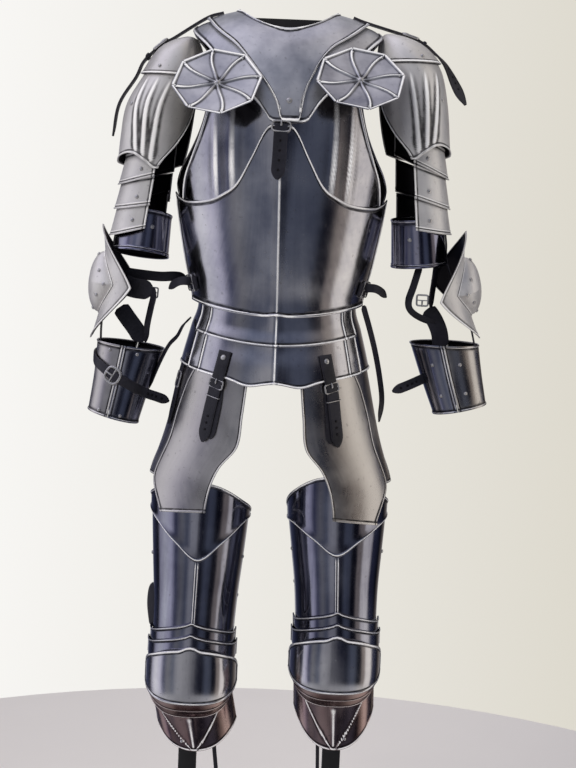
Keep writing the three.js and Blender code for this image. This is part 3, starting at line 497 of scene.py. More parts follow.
def plate(node, surface, place, across=56, down=32, lift=0.0, wall=2.0, rolls="", roll=(3.6, 1.4),
          relief=None, us=None, vs=None, side="", rise=0.0, finish="polished", body="harness",
          closed=False, turn=None):
    # place gives the surface's row and angle for a share across and down. rolls names the edges that are
    # turned over (top, bottom, left, right), and roll is their width and height.
    u, v = np.meshgrid(np.linspace(0, 1, 9), np.linspace(0, 1, 9))
    coarse = surface(*place(u, v))
    wide = np.linalg.norm(np.diff(coarse, axis=1), axis=-1).sum(1).mean()
    tall = np.linalg.norm(np.diff(coarse, axis=0), axis=-1).sum(0).mean()
    us = samples(across, wide, roll[0], "l" in rolls, "r" in rolls) if us is None else us
    vs = samples(down, tall, roll[0], "t" in rolls, "b" in rolls) if vs is None else vs
    u, v = np.meshgrid(us, vs)
    at, angle = place(u, v)
    base = surface(at, angle)
    outward = outwardOf(surface, at, angle)
    stepAcross = np.linalg.norm(np.diff(base, axis=1), axis=-1)
    stepDown = np.linalg.norm(np.diff(base, axis=0), axis=-1)
    fromLeft = np.concatenate([np.zeros((len(vs), 1)), np.cumsum(stepAcross, 1)], 1)
    fromTop = np.concatenate([np.zeros((1, len(us))), np.cumsum(stepDown, 0)], 0)
    reach = {"l": fromLeft, "r": fromLeft[:, [-1]] - fromLeft, "t": fromTop, "b": fromTop[[-1]] - fromTop}
    raised, beside = np.zeros_like(u), np.zeros_like(u)
    for letter in rolls:
        raised = np.maximum(raised, rolled(reach[letter], *roll))
        # painted shade: a dark line of colour just beyond each turned-over edge, on the plate's side
        shadeLine = bell(reach[letter] - 1.2 * roll[0], 0.28 * roll[0]) * (reach[letter] > roll[0])
        beside = np.maximum(beside, shadeLine)
    if relief:
        raised = raised + relief(u, v, angle / degree, base)
    points = base + outward * (lift + raised)[..., None]
    points[..., 2] += rise
    if turn is not None:
        points, outward = placed(points, turn), outward @ turn[:3, :3].T
    points, outward = onSide(side, points, outward)
    bm = gridMesh(points, outward, raised, closed, beside)
    return backed(linkPiece(node + "_plate", bm, finish, body, [node]), wall)


# Small parts are gathered in one mesh for each body and finish
gathered = {}


def gather(body, finish="fitting"):
    if (body, finish) not in gathered:
        gathered[body, finish] = bmesh.new()
    return gathered[body, finish]


def basis(centre, ahead, out):
    out = Vector(out).normalized()
    ahead = Vector(ahead)
    ahead = (ahead - out * ahead.dot(out)).normalized()
    aside = ahead.cross(out)
    made = Matrix((aside, ahead, out)).transposed().to_4x4()
    return Matrix.Translation(Vector(centre) * mm) @ made @ Matrix.Scale(mm, 4)


def rivet(centre, out, radius=3.6, height=2.0, body="harness", side=""):
    centre, out = onSide(side, np.array(centre, float), np.array(out, float))
    ahead = (0, 0, 1) if abs(out[2]) < 0.9 * np.linalg.norm(out) else (0, 1, 0)
    where = basis(centre, ahead, out) @ Matrix.Diagonal((1, 1, height / radius, 1))
    bmesh.ops.create_uvsphere(gather(body), u_segments=14, v_segments=8, radius=radius, matrix=where)


def rivetOn(surface, at, angle, lift, side="", rise=0.0, **shape):
    centre, out = over(surface, at, angle, lift)
    rivet(centre + (0, 0, rise), out, side=side, **shape)


def bar(bm, line, radius, out, closed=False, around=8, flat=1.0):
    # A round bar along a line of points that lies square to out
    line = np.array(line, float)
    ahead = np.roll(line, -1, 0) - np.roll(line, 1, 0) if closed else np.gradient(line, axis=0)
    ahead /= np.linalg.norm(ahead, axis=1, keepdims=True)
    out = np.array(out, float) / np.linalg.norm(out)
    aside = np.cross(ahead, out)
    radius = np.broadcast_to(radius, len(line))
    if closed:
        line, aside, radius = (np.concatenate([x, x[:1]]) for x in (line, aside, radius))
    made = bmesh.ops.create_grid(bm, x_segments=around, y_segments=len(line) - 1, size=1)["verts"]
    for vert in made:
        i, j = round((vert.co.x + 1) / 2 * around), round((vert.co.y + 1) / 2 * (len(line) - 1))
        turn = 2 * math.pi * i / around
        vert.co = Vector(line[j] + radius[j] * (math.cos(turn) * aside[j] + flat * math.sin(turn) * out)) * mm
    bmesh.ops.remove_doubles(bm, verts=made, dist=1e-6)


def loopOf(count, wide, tall, corners):
    turns = np.linspace(0, 2 * math.pi, count, endpoint=False)
    c, s = np.cos(turns), np.sin(turns)
    return np.sign(c) * np.abs(c) ** corners * wide, np.sign(s) * np.abs(s) ** corners * tall


def buckle(centre, ahead, out, wide=30, tall=24, thick=1.9, side="", corners=0.35):
    # corners: 1 for a round frame, near 0 for a square one
    centre, ahead, out = onSide(side, *(np.array(x, float) for x in (centre, ahead, out)))
    out = out / np.linalg.norm(out)
    ahead = ahead - out * ahead.dot(out)
    ahead /= np.linalg.norm(ahead)
    aside = np.cross(ahead, out)
    bm = gather("harness")
    across, along = loopOf(40, wide / 2, tall / 2, corners)
    frameLine = centre + across[:, None] * aside + along[:, None] * ahead
    bar(bm, frameLine, thick, out, closed=True)
    pin = centre + np.linspace(-wide / 2, wide / 2, 5)[:, None] * aside
    bar(bm, pin, 0.6 * thick, out)
    reach = np.linspace(0, tall / 2 + 1.5, 8)
    rise = 1.2 + 1.4 * np.sin(reach / reach[-1] * math.pi)
    tongue = centre - reach[:, None] * ahead + rise[:, None] * out
    bar(bm, tongue, np.linspace(1.5, 1.0, 8), out)


def smoothLine(points, count):
    # A smooth line through points, at even distances
    points = np.array(points, float)
    ends = np.concatenate([[2 * points[0] - points[1]], points, [2 * points[-1] - points[-2]]])
    dense = smoothRow(ends, np.linspace(1, len(points), 60 * len(points)))
    steps = np.concatenate([[0], np.cumsum(np.linalg.norm(np.diff(dense, axis=0), axis=1))])
    wanted = np.linspace(0, steps[-1], count)
    return np.stack([np.interp(wanted, steps, dense[:, k]) for k in range(3)], -1), steps[-1]


strapSize = {"width": 20.0, "thick": 3.0, "blunt": 0.2, "holeRadius": 1.9, "overPlate": 0.9}
# How high a strap's middle lies over the plate that it is drawn across
strapLie = strapSize["overPlate"] + strapSize["thick"] / 2


def strap(name, line, width=strapSize["width"], thickness=strapSize["thick"], point=0.0, node=None,
          side="", holes=0, holeStep=11.0, body="harness", startPoint=0.0):
    # line holds (point, the way its face looks); point and startPoint say how long its tapered ends are
    at = np.array([p for p, _ in line], float)
    out = np.array([o / np.linalg.norm(o) for _, o in line], float)
    length = smoothLine(at, 2)[1]
    count = max(8, int(length / 3.2))
    centre, _ = smoothLine(at, count)
    facing, _ = smoothLine(at + 10 * out, count)
    ahead = np.gradient(centre, axis=0)
    ahead /= np.linalg.norm(ahead, axis=1, keepdims=True)
    aside = np.cross(facing - centre, ahead)
    aside /= np.linalg.norm(aside, axis=1, keepdims=True)
    normal = np.cross(ahead, aside)
    left = length * (1 - np.linspace(0, 1, count))
    half = np.full(count, width / 2)
    if point:
        taper = np.sin(np.clip(left / point, 0, 1) * math.pi / 2) ** 0.8
        half *= np.where(left < point, mix(strapSize["blunt"], 1, taper), 1)
    if startPoint:
        taper = np.sqrt(np.clip((length - left) / startPoint, 0, 1))
        half *= np.where(length - left < startPoint, mix(0.5, 1, taper), 1)
    shares = np.array([-1, -0.86, -0.7, -0.35, 0, 0.35, 0.7, 0.86, 1])
    crown = np.array([-0.5, 0, 0.14, 0.2, 0.22, 0.2, 0.14, 0, -0.5])
    points = centre[:, None] + (half[:, None] * shares)[..., None] * aside[:, None]
    points = points + (thickness / 2 + crown)[None, :, None] * normal[:, None]
    outward = np.broadcast_to(normal[:, None], points.shape).copy()
    points, outward = onSide(side, points, outward)
    raised = np.broadcast_to(np.array([0.5, 0.1, 0, 0, 0, 0, 0, 0.1, 0.5]), points.shape[:2]).copy()
    bm = gridMesh(points, outward, raised)
    piece = linkPiece(name, bm, "leather", body, [node] if node else [])
    thicken(piece, thickness, 0.6)
    for k in range(holes):
        j = count - 1 - int(round((point * 0.8 + 4 + k * holeStep) / (length / (count - 1))))
        if j > 0:
            spot, way = centre[j] + normal[j] * (thickness / 2 + 0.32), normal[j]
            hole(*onSide(side, spot, ahead[j], way), body)
    return centre, ahead, normal, aside


def hole(spot, ahead, way, body):
    radius = strapSize["holeRadius"]
    bmesh.ops.create_cone(gather(body, "inside"), cap_ends=True, segments=12, radius1=radius, radius2=radius,
                          depth=0.5, matrix=basis(spot, ahead, way))


print("tools ready")

# The body. Each row is a ring: half width, front, back, heights at the front, side and back, and the keel.
layer = 2.9
bodyRings = [
    ring(70, 58, 60, 1494, 1520, 1508), ring(102, 84, 80, 1470, 1511, 1484),
    ring(138, 106, 98, 1430, 1493, 1446), ring(160, 122, 110, 1380, 1440, 1400, 1),
    ring(162, 130, 114, 1320, 1340, 1330, 3), ring(153, 128, 108, 1240, 1245, 1245, 4),
    ring(139, 119, 98, 1160, 1165, 1165, 4), ring(125, 106, 88, 1085, 1100, 1098, 3),
    ring(135, 116, 100, 1043, 1060, 1060, 2), ring(149, 130, 114, 990, 1006, 1004, 1),
    ring(172, 130, 114, 900, 905, 905), ring(196, 124, 108, 820, 825, 825),
    ring(200, 122, 106, 770, 772, 772),
]
neckRow, waistRow, hipRow, skirtRow, lastRow = 0, 7, 8, 9, 12
torso = ringSurface(bodyRings)


def torsoPlace(z, angle):
    return placeAtHeight(torso, z, angle, neckRow, lastRow), angle


chest = {
    "breastSide": [(1200, 70), (1250, 70), (1280, 65), (1310, 56), (1345, 48), (1390, 42), (1445, 38)],
    "backSide": [(1090, 105), (1250, 103), (1285, 80), (1320, 62), (1370, 50), (1450, 44)],
    "bib": [(0, 1361), (6.5, 1357), (14, 1317), (22, 1279), (30, 1263), (41, 1252), (61, 1249), (80, 1260)],
    "bibSide": 80, "bibLift": layer + 0.7,
    "bibLean": -1.8,  # degrees that its point stands to the wearer's left
}


def breastplate():
    def place(u, v):
        z = mix(1442, 1205, v)
        return torsoPlace(z, (2 * u - 1) * look(chest["breastSide"], z) * degree)

    def flutes(u, v, angle, base):
        # shallow hollows that run down from the shoulders
        fade = np.sin(np.clip(v, 0, 1) * math.pi) ** 0.7
        return fade * (0.9 * bell(np.abs(angle) - 27, 3.2) + 0.7 * bell(np.abs(angle) - 37, 2.6))

    plate("breastplate", torso, place, 84, 40, rolls="lr", roll=(4.5, 2.2), relief=flutes)


def plackart():
    def place(u, v):
        side = 2 * u - 1
        angle = chest["bibSide"] * np.sign(side) * np.abs(side) ** 1.3
        top, _ = torsoPlace(look(chest["bib"], np.abs(angle)), angle * degree)
        lean = chest["bibLean"] * (1 - np.abs(side)) * (1 - v)
        return mix(top, waistRow - 0.04 * bell(angle, 5), v), (angle + lean) * degree

    def keel(u, v, angle, base):
        middle = chest["bibLean"] * (1 - np.abs(2 * u - 1)) * (1 - v)
        return 1.2 * np.exp(-np.abs(angle - middle) / 1.6)

    plate("plackart", torso, place, 96, 44, chest["bibLift"], rolls="tblr", roll=(4.6, 2.1), relief=keel)


def backplate():
    def place(u, v):
        z = mix(1450, 1098, v ** 0.85)
        return torsoPlace(z, (180 + (2 * u - 1) * look(chest["backSide"], z)) * degree)

    def hollow(u, v, angle, base):
        fade, fromMiddle = np.sin(v * math.pi), np.abs(angle - 180)
        return -1.1 * bell(fromMiddle, 5) * fade ** 0.6 + 0.8 * bell(fromMiddle - 26, 5) * fade

    plate("backplate", torso, place, 72, 44, -0.25, rolls="tblr", roll=(4.2, 1.7), relief=hollow)


neckHalf = 88.8  # degrees from the middle of a neck plate to its sides


def gorgetPlate(node, edge, middle, across, down, lean=0.0):
    def place(u, v):
        side = 2 * u - 1
        angle = middle + neckHalf * np.sign(side) * np.abs(side) ** 1.15
        fromFront = np.abs(angle) if middle == 0 else 180 - np.abs(180 - angle)
        outer, _ = torsoPlace(look(edge, fromFront), angle * degree)
        return mix(neckRow, outer, v), (angle + lean * (1 - np.abs(side)) * v) * degree

    plate(node, torso, place, across, down, layer + 0.6, rolls="tb", roll=(4, 1.7), finish="cloudy")


# Angle, height and lean of the collar's edge, from the middle of the front to the side
collarEdge = np.array([
    (0, 1364.5, 2.7), (2.6, 1364.5, 2.7), (4.3, 1367, 2.7), (5.6, 1386, 2.3), (8, 1402.5, 1.4),
    (12.6, 1421, 0.3), (20.9, 1445, -1.3), (32, 1465, -2), (46, 1480, -1.4), (69, 1499, -0.4),
    (neckHalf, 1507, 0)], float)
collarLift = 2 * layer + 2.15


def collar():
    def place(u, v):
        side = 2 * u - 1
        edge = smoothRow(collarEdge, np.abs(side) * 10)
        fromFront = mix(np.abs(side) * neckHalf, edge[..., 0], np.sqrt(v))
        angle = (np.sign(side) * fromFront + edge[..., 2] * v) * degree
        return mix(neckRow, placeAtHeight(torso, edge[..., 1], angle, neckRow, lastRow), v), angle

    plate("collar", torso, place, 120, 34, collarLift, rolls="tb", roll=(5, 2.4), finish="cloudy")


def skirtHoop(node, start, end, lift, dip):
    half, beadAt = 62, 50  # degrees from the front to the hoop's ends, and to the bead beside each end

    def place(u, v):
        angle = (2 * u - 1) * half
        return mix(start, end, v) + dip(np.abs(angle)) * v, angle * degree

    def beads(u, v, angle, base):
        return 1.1 * np.exp(-np.abs(angle) / 1.2) + 1.5 * bell(np.abs(angle) - beadAt, 1.0)

    besideBeads = [way * (beadAt + np.linspace(-2.5, 2.5, 9)) for way in (-1, 1)]
    fine = np.concatenate([np.linspace(-half, half, 57), np.linspace(-3, 3, 9)] + besideBeads)
    edges = samples(10, 140, 3.6, True, True)
    us = np.unique(np.round(np.concatenate([(fine + half) / (2 * half), edges]), 4))
    plate(node, torso, place, 70, 16, lift, rolls="tblr", roll=(3.8, 1.5), relief=beads, us=us)


def culet():
    def place(u, v):
        return mix(6.75, skirtRow, v), mix(60, 300, u) * degree

    plate("culet", torso, place, 90, 20, -2 * layer, rolls="tblr", roll=(3.6, 1.3))


# Height and the angles of the inner and outer edges; foot holds the heights of the lower corners
tassets = {
    "front": [(780, 29, 57), (800, 28.5, 61), (835, 27, 69.5), (862, 24, 68.5), (893, 17, 65.5),
              (940, 16, 64.5), (982, 15.4, 60.5), (1000, 15, 57)],
    "rear": [(832, 57, 84), (862, 55, 96), (900, 52, 102), (960, 51, 104), (1012, 50, 104)],
    "foot": {"l": (785, 773), "r": (790, 781)}, "rearFoot": (834, 834),
}


def tasset(node, edges, foot, lift, across, down, side):
    inner, outer = [(z, a) for z, a, _ in edges], [(z, b) for z, _, b in edges]

    def place(u, v):
        def angleAt(z):
            return mix(look(inner, z), look(outer, z), u)
        start = torso(np.full_like(u, skirtRow), angleAt(np.full_like(u, 995)) * degree)[..., 2]
        z = mix(start + 9, mix(*foot, u), v)
        return torsoPlace(z, angleAt(z) * degree)

    plate(node, torso, place, across, down, lift, rolls="blr", roll=(3.4, 1.1), side=side, finish="satin")


breastplate()
plackart()
backplate()
gorgetFoot = [(0, 1364.5), (8.7, 1365.5), (12.3, 1378), (15.5, 1389.5), (22, 1406), (36, 1438), (59, 1474),
              (90, 1498)]
gorgetPlate("gorget_front", gorgetFoot, 0, 96, 30, 2.6)
gorgetPlate("gorget_back", [(90, 1498), (120, 1474), (150, 1430), (180, 1405)], 180, 64, 24)
collar()
skirtHoop("fauld_upper", 6.85, hipRow, 0, lambda angle: 0 * angle)
skirtHoop("fauld_lower", 7.8, skirtRow, -layer, lambda angle: 0.09 * bell(angle - 15, 9))
culet()
for side in "lr":
    tasset("tasset_" + side, tassets["front"], tassets["foot"][side], -2 * layer - 0.3, 36, 44, side)
    tasset("rear_tasset_" + side, tassets["rear"], tassets["rearFoot"], -3 * layer - 0.4, 30, 28, side)
print("body plates made")

# The octagonal discs: eight flutes that swirl a little, a raised rim, and a low crown
discs = {
    "l": {"at": (105, -122.7, 1428), "turn": -8, "yaw": 4, "lean": 45},
    "r": {"at": (-97, -131.1, 1416), "turn": -10, "yaw": -4, "lean": 42},
    "radius": 65, "crown": -4, "wall": 2.2, "flute": 2.0, "swirl": 7,
}


def disc(side):
    where = discs[side]
    near = np.array([0, 1.1, 2.3, 3.6, 5.4, 8, 12, 17, 22.5])
    sector = np.concatenate([near, 45 - near[-2::-1]])[:-1]
    turns = np.concatenate([sector + 45 * k for k in range(8)] + [[360]])
    reach = np.sort(1 - samples(20, discs["radius"], 4.6, True, False) * 0.97)
    share, turn = np.meshgrid(reach, turns, indexing="ij")
    swirl = discs["swirl"] * np.sin(share * math.pi)
    offset = (turn + 22.5) % 45 - 22.5
    edge = discs["radius"] * math.cos(math.pi / 8) / np.cos((offset - 22.5 * np.sign(offset)) * degree)
    radius = share * edge
    sideways = np.radians(np.abs(offset)) * radius
    fromRim = discs["radius"] * math.cos(math.pi / 8) * (1 - share)
    flute = discs["flute"] * bell(sideways, 1.7) * np.clip((1 - share) * 12, 0.75, 1)
    raised = np.maximum(flute, rolled(fromRim, 4.2, 2.4))
    raised += 1.6 * bell(radius, 5)
    height = discs["wall"] + discs["crown"] * (1 - share) + raised
    ahead = np.radians(turn + swirl)
    local = np.stack([radius * np.cos(ahead), radius * np.sin(ahead), height], -1)
    turned = Matrix.Rotation(where["yaw"] * degree, 3, "Z")
    turned = turned @ Matrix.Rotation((90 - where["lean"]) * degree, 3, "X")
    turned = np.array(turned @ Matrix.Rotation(-where["turn"] * degree, 3, "Z"))
    points = local @ turned.T + where["at"]
    outward = np.broadcast_to(turned @ (0, 0, 1), points.shape)
    bm = gridMesh(points, outward, raised, closed=True)
    fillCentre(bm, 0.4)
    backed(linkPiece("besagew_%s_plate" % side, bm, "cloudy", "harness", ["besagew_" + side]), discs["wall"])
    centre = turned @ (0, 0, discs["wall"] + discs["crown"] + 2.4) + where["at"]
    rivet(centre, turned @ (0, 0, 1), 4.2, 2.6)


for side in "lr":
    disc(side)
print("discs made")

# The arms, made for the wearer's left. The right one is turned over.
shoulderRings = {
    "l": [level(1499, 147, 6, 16), level(1493, 161, 20, 34), level(1479, 173, 34, 48),
          level(1450, 184, 46, 60), level(1400, 191, 51, 66, 64), level(1345, 196, 52, 64, 60),
          level(1300, 199, 53, 58, 56)],
    "r": [level(1483, 142, 6, 16), level(1477, 152, 17, 30), level(1463, 160, 30, 44),
          level(1430, 169, 42, 57), level(1385, 185, 51, 64, 62), level(1335, 191, 53, 62, 58),
          level(1284, 194, 54, 57, 55)],
}
shoulders = {side: ringSurface(rows) for side, rows in shoulderRings.items()}
shoulder = {
    "top": {"l": 1464, "r": 1442}, "drop": {"l": 0, "r": -28}, "lameFoot": {"l": 2.75, "r": 3.05},
    "front": [(1310, -6), (1332, -18), (1356, -44), (1395, -74), (1470, -84)],
    "rear": [(1310, 222), (1332, 236), (1356, 246), (1395, 256), (1470, 264)],
    "lameLift": {"l": layer + 0.7, "r": layer + 1.3},
    "foot": [(-90, 1340), (-6, 1320), (10, 1330), (34, 1341), (66, 1336), (96, 1326), (190, 1318),
             (280, 1340)],
}


def shoulderPlace(side, z, angle):
    return placeAtHeight(shoulders[side], z, angle, 0, 6), angle


def pauldron(side):
    top, drop = shoulder["top"][side], shoulder["drop"][side]

    def place(u, v):
        flat = mix(top - drop, 1322, v)
        angle = mix(look(shoulder["front"], flat), look(shoulder["rear"], flat), u)
        return shoulderPlace(side, mix(top, look(shoulder["foot"], angle) + drop, v), angle * degree)

    def flutes(u, v, angle, base):
        # three soft flutes that run together at the lowest point of the front edge
        fade = np.clip((v - 0.1) / 0.25, 0, 1) * np.clip((1 - v) / 0.1, 0, 1)
        ends = ((2, -8), (14, 20), (26, 48))  # each one's angle at its foot and at its head
        return 1.7 * fade * sum(bell(angle - mix(foot, head, 1 - v), 3.4) for foot, head in ends)

    plate("pauldron_" + side, shoulders[side], place, 138, 42, rolls="tblr", roll=(3.8, 1.6),
          relief=flutes, side=side, finish="bright")
    rivetOn(shoulders[side], shoulderPlace(side, 1408 + 0.8 * drop, 52 * degree)[0], 52, 0.4, side)


def shoulderLame(side):
    def place(u, v):
        return mix(0.25, shoulder["lameFoot"][side], v), mix(-88, 268, u) * degree

    plate("shoulder_lame_" + side, shoulders[side], place, 90, 20, shoulder["lameLift"][side], rolls="blr",
          roll=(3.4, 1.4), side=side, finish="bright")
    for angle in (24, 150):
        rivetOn(shoulders[side], shoulder["lameFoot"][side] - 0.28, angle,
                shoulder["lameLift"][side] + 0.4, side, radius=2.9)


arms = {
    "hoops": {"l": [(1313, 22, 46), (1262, 15, 50), (1216, 6, 50)],
              "r": [(1279, 14, 46), (1237, 8, 44), (1202, 13, 50)]},
    "hoopTop": 45.6, "hoopFoot": 50, "front": -8, "back": 216,
    "cannon": {"foot": -42, "topHalf": 38.5, "footHalf": 42, "tilt": 5.7, "z": 1204},
    "l": {"cannonLean": 3, "cannonTop": 30, "elbow": (231, 1122), "lean": 12, "nod": 14, "inside": 4,
          "forearm": [level(1047, 255.5, 52, 46, 46, -4, 0), level(996, 269, 45.5, 40, 40, -10, 0.12),
                      level(949, 283, 39.5, 35, 35, -16, 0.23)]},
    "r": {"cannonLean": -11, "cannonTop": 22, "elbow": (209.5, 1114), "lean": 5, "nod": 0, "inside": 4.4,
          "forearm": [level(1027, 219.5, 51, 43, 43, -4, 0.11), level(972, 231, 43, 38, 38, -10, 0.18),
                      level(917, 243, 38, 34, 34, -16, 0.26)]},
}


def armX(side, z):
    return 194 + 0.1 * (1340 - z) if side == "l" else 184 + 0.15 * (1340 - z)


def armHoop(side, number):
    foot, drop, high = arms["hoops"][side][number]

    def ringOf(z, half):
        return level(z, armX(side, z - drop), half, half + 2, half + 2, 0, -drop / half)
    surface = ringSurface([ringOf(foot + high, arms["hoopTop"]), ringOf(foot, arms["hoopFoot"])])

    def place(u, v):
        return v, mix(arms["front"], arms["back"], u) * degree

    def border(u, v, angle, base):
        # a raised line inside the lower edge
        return 0.8 * bell((1 - v) * high - 8, 1.3)

    vs = np.unique(np.concatenate([samples(14, high, 3.2, True, True), 1 - np.linspace(4.5, 11.5, 9) / high]))
    plate("arm_lame_%d_%s" % (number + 1, side), surface, place, 48, 14, wall=1.8, rolls="tblr",
          roll=(3.2, 1.3), relief=border, vs=vs, side=side, finish="bright")
    for angle in (18, 160):
        rivetOn(surface, 0.62, angle, 0.3, side, radius=3.2)
    return surface


def turnMatrix(position, *turns):
    made = Matrix.Identity(4)
    for angle, axis in turns:
        made = made @ Matrix.Rotation(angle * degree, 4, axis)
    made.translation = position
    return np.array(made)


def upperCannon(side):
    cannon, pose = arms["cannon"], arms[side]
    surface = ringSurface([level(pose["cannonTop"], 0, cannon["topHalf"], cannon["topHalf"]),
                           level(cannon["foot"], 0, cannon["footHalf"], cannon["footHalf"])])
    turn = turnMatrix((armX(side, cannon["z"]), 0, cannon["z"]), (pose["cannonLean"], "X"),
                      (-cannon["tilt"], "Y"))

    length = pose["cannonTop"] - cannon["foot"]
    seam = 302  # degrees round it, where its edges lie over each other

    def border(u, v, angle, base):
        return np.maximum(0.8 * bell((1 - v) * length - 7.5, 1.2), bell((angle % 360 - seam) * 0.72, 1.6))

    vs = np.unique(np.concatenate([samples(14, length, 3.4, True, True),
                                   1 - np.linspace(4.5, 10.5, 9) / length]))
    us = np.unique(np.concatenate([np.linspace(0, 1, 65), (seam + np.linspace(-4, 4, 9)) / 360]))
    plate("upper_cannon_" + side, surface, lambda u, v: (v, u * 2 * math.pi), 64, 14, wall=1.8, rolls="tb",
          roll=(3.4, 1.2), relief=border, us=us, vs=vs, side=side, finish="blued", closed=True, turn=turn)
    spot, way = over(surface, 0.42, -22, 0.3)
    rivet(placed(spot, turn), turn[:3, :3] @ way, 3.2, 1.8, side=side)


elbow = {"wrap": 52, "tall": 87, "wide": 74, "copShare": 0.53, "cop": 24, "flare": 13}


def elbowPoint(share, turn, out):
    c, s = np.cos(turn), np.sin(turn)
    reach = (np.abs(c / elbow["wide"]) ** 1.15 + np.abs(s / elbow["tall"]) ** 1.15) ** (-1 / 1.15)
    around, high = share * reach * c, share * reach * s
    inCop = np.clip(1 - (share / elbow["copShare"]) ** 2, 0, 1)
    bulge = elbow["cop"] * inCop ** 0.62 - 1.6 * inCop * np.abs(high) / elbow["tall"]
    radius = elbow["wrap"] + bulge + elbow["flare"] * (np.abs(high) / elbow["tall"]) ** 1.5 + out
    angle = around / elbow["wrap"]
    return np.stack([radius * np.cos(angle), -radius * np.sin(angle), high], -1)


def elbowTurn(side):
    x, z = arms[side]["elbow"]
    return turnMatrix((x, 0, z), (-arms[side]["lean"], "Y"), (arms[side]["nod"], "X"))


def couter(side):
    turn = elbowTurn(side)
    rim = 1 - np.array([0.05, 0.037, 0.025, 0.014, 0.006, 0])
    share = np.concatenate([[0.004], np.linspace(0.04, 0.5, 22), np.linspace(0.515, 0.575, 9),
                            np.linspace(0.6, 0.93, 12), rim])
    keel = np.array([-14, -9, -6, -4, -2.6, -1.3, 0, 1.3, 2.6, 4, 6, 9, 14])
    turns = np.unique(np.concatenate([np.linspace(0, 360, 97)]
                                     + [keel[keel >= 0], keel + 180, 360 + keel[keel <= 0]]))
    share, around = np.meshgrid(share, turns * degree, indexing="ij")
    flat = elbowPoint(share, around, 0.0)
    high = flat[..., 2]
    fromRim = (1 - share) * 76
    inCop = share < elbow["copShare"]
    raised = np.where(inCop, 1.5 * np.exp(-np.abs(high) / 2.2) * np.clip(share / 0.1, 0, 1), 0)
    raised = np.maximum(raised, 1.5 * (share < 0.545))
    raised = np.maximum(raised, rolled(fromRim, 4, 1.6))
    local = elbowPoint(share, around, raised)
    outward = local * (1, 1, 0)
    outward /= np.linalg.norm(outward, axis=-1, keepdims=True)
    points, outward = onSide(side, placed(local, turn), outward @ turn[:3, :3].T)
    bm = gridMesh(points, outward, raised, closed=True)
    fillCentre(bm, 0.3)
    backed(linkPiece("couter_%s_plate" % side, bm, "bright", "harness", ["couter_" + side]), 2)
    for angle, far in ((90, 0.47), (270, 0.47), (0, 0.45), (180, 0.45), (42, 0.44), (318, 0.44)):
        spot = elbowPoint(far, angle * degree, 1.3)
        away = np.array([spot[0], spot[1], 0.55 * spot[2]]) - np.array([20.0, 0, 0])
        rivet(placed(spot, turn), away @ turn[:3, :3].T, 3.3, 2.0, side=side)


def forearm(side):
    surface = ringSurface(arms[side]["forearm"])
    split = -8 if side == "l" else 8
    for name, start, end in (("vambrace_outer_", split, 180 + split),
                             ("vambrace_inner_", 180 + split, 360 + split)):
        def place(u, v):
            return 2 * v, mix(start + 0.4, end - 0.4, u) * degree
        # the outer half takes the lighter satin steel and the inner half the darker leg steel: painted light
        # on one side, painted shade on the other
        finish = "satin" if name.startswith("vambrace_outer") else "shaded"
        plate(name + side, surface, place, 44, 30, wall=1.8, rolls="tblr", roll=(3.2, 1.2), side=side,
              finish=finish)
    for at in (0.6, 1.4) if side == "l" else (0.25, 1.8):
        for away in (-26, 24):
            rivetOn(surface, at, split + away, 0.3, side, radius=2.8)


for side in "lr":
    pauldron(side)
    shoulderLame(side)
    for number in range(3):
        armHoop(side, number)
    upperCannon(side)
    couter(side)
    forearm(side)
print("arm plates made")

# The legs, made for the wearer's left
legPoses = {"l": {"lift": 13, "vee": 8, "top": 22, "footX": 2},
            "r": {"lift": -13, "vee": -8, "top": 0, "footX": -11}}


def legSurface(lift, vee, top):
    return ringSurface([
        level(835 + top, 104, 76, 82, 70), level(780, 105, 75, 80, 68), level(711 + vee, 107, 70, 76, 64),
        level(650 + lift, 109, 65, 72, 60), level(590 + lift, 111, 62.8, 70.4, 58),
        level(545 + lift, 112, 62.8, 70.4, 58)])


legs = {side: legSurface(pose["lift"], pose["vee"], pose["top"]) for side, pose in legPoses.items()}
thigh = {
    "top": [(-102, 770), (-60, 797), (-15, 829), (30, 830), (70, 808), (106, 790)],
    "vee": [(-102, 764), (-62, 764), (-30, 742), (-2, 718), (26, 742), (60, 768), (106, 780)],
    "bottom": 592, "step": 1.8, "inner": -102, "outer": 106,
}


def legPlace(side, z, angle):
    return placeAtHeight(legs[side], z, angle, 0, 5), angle


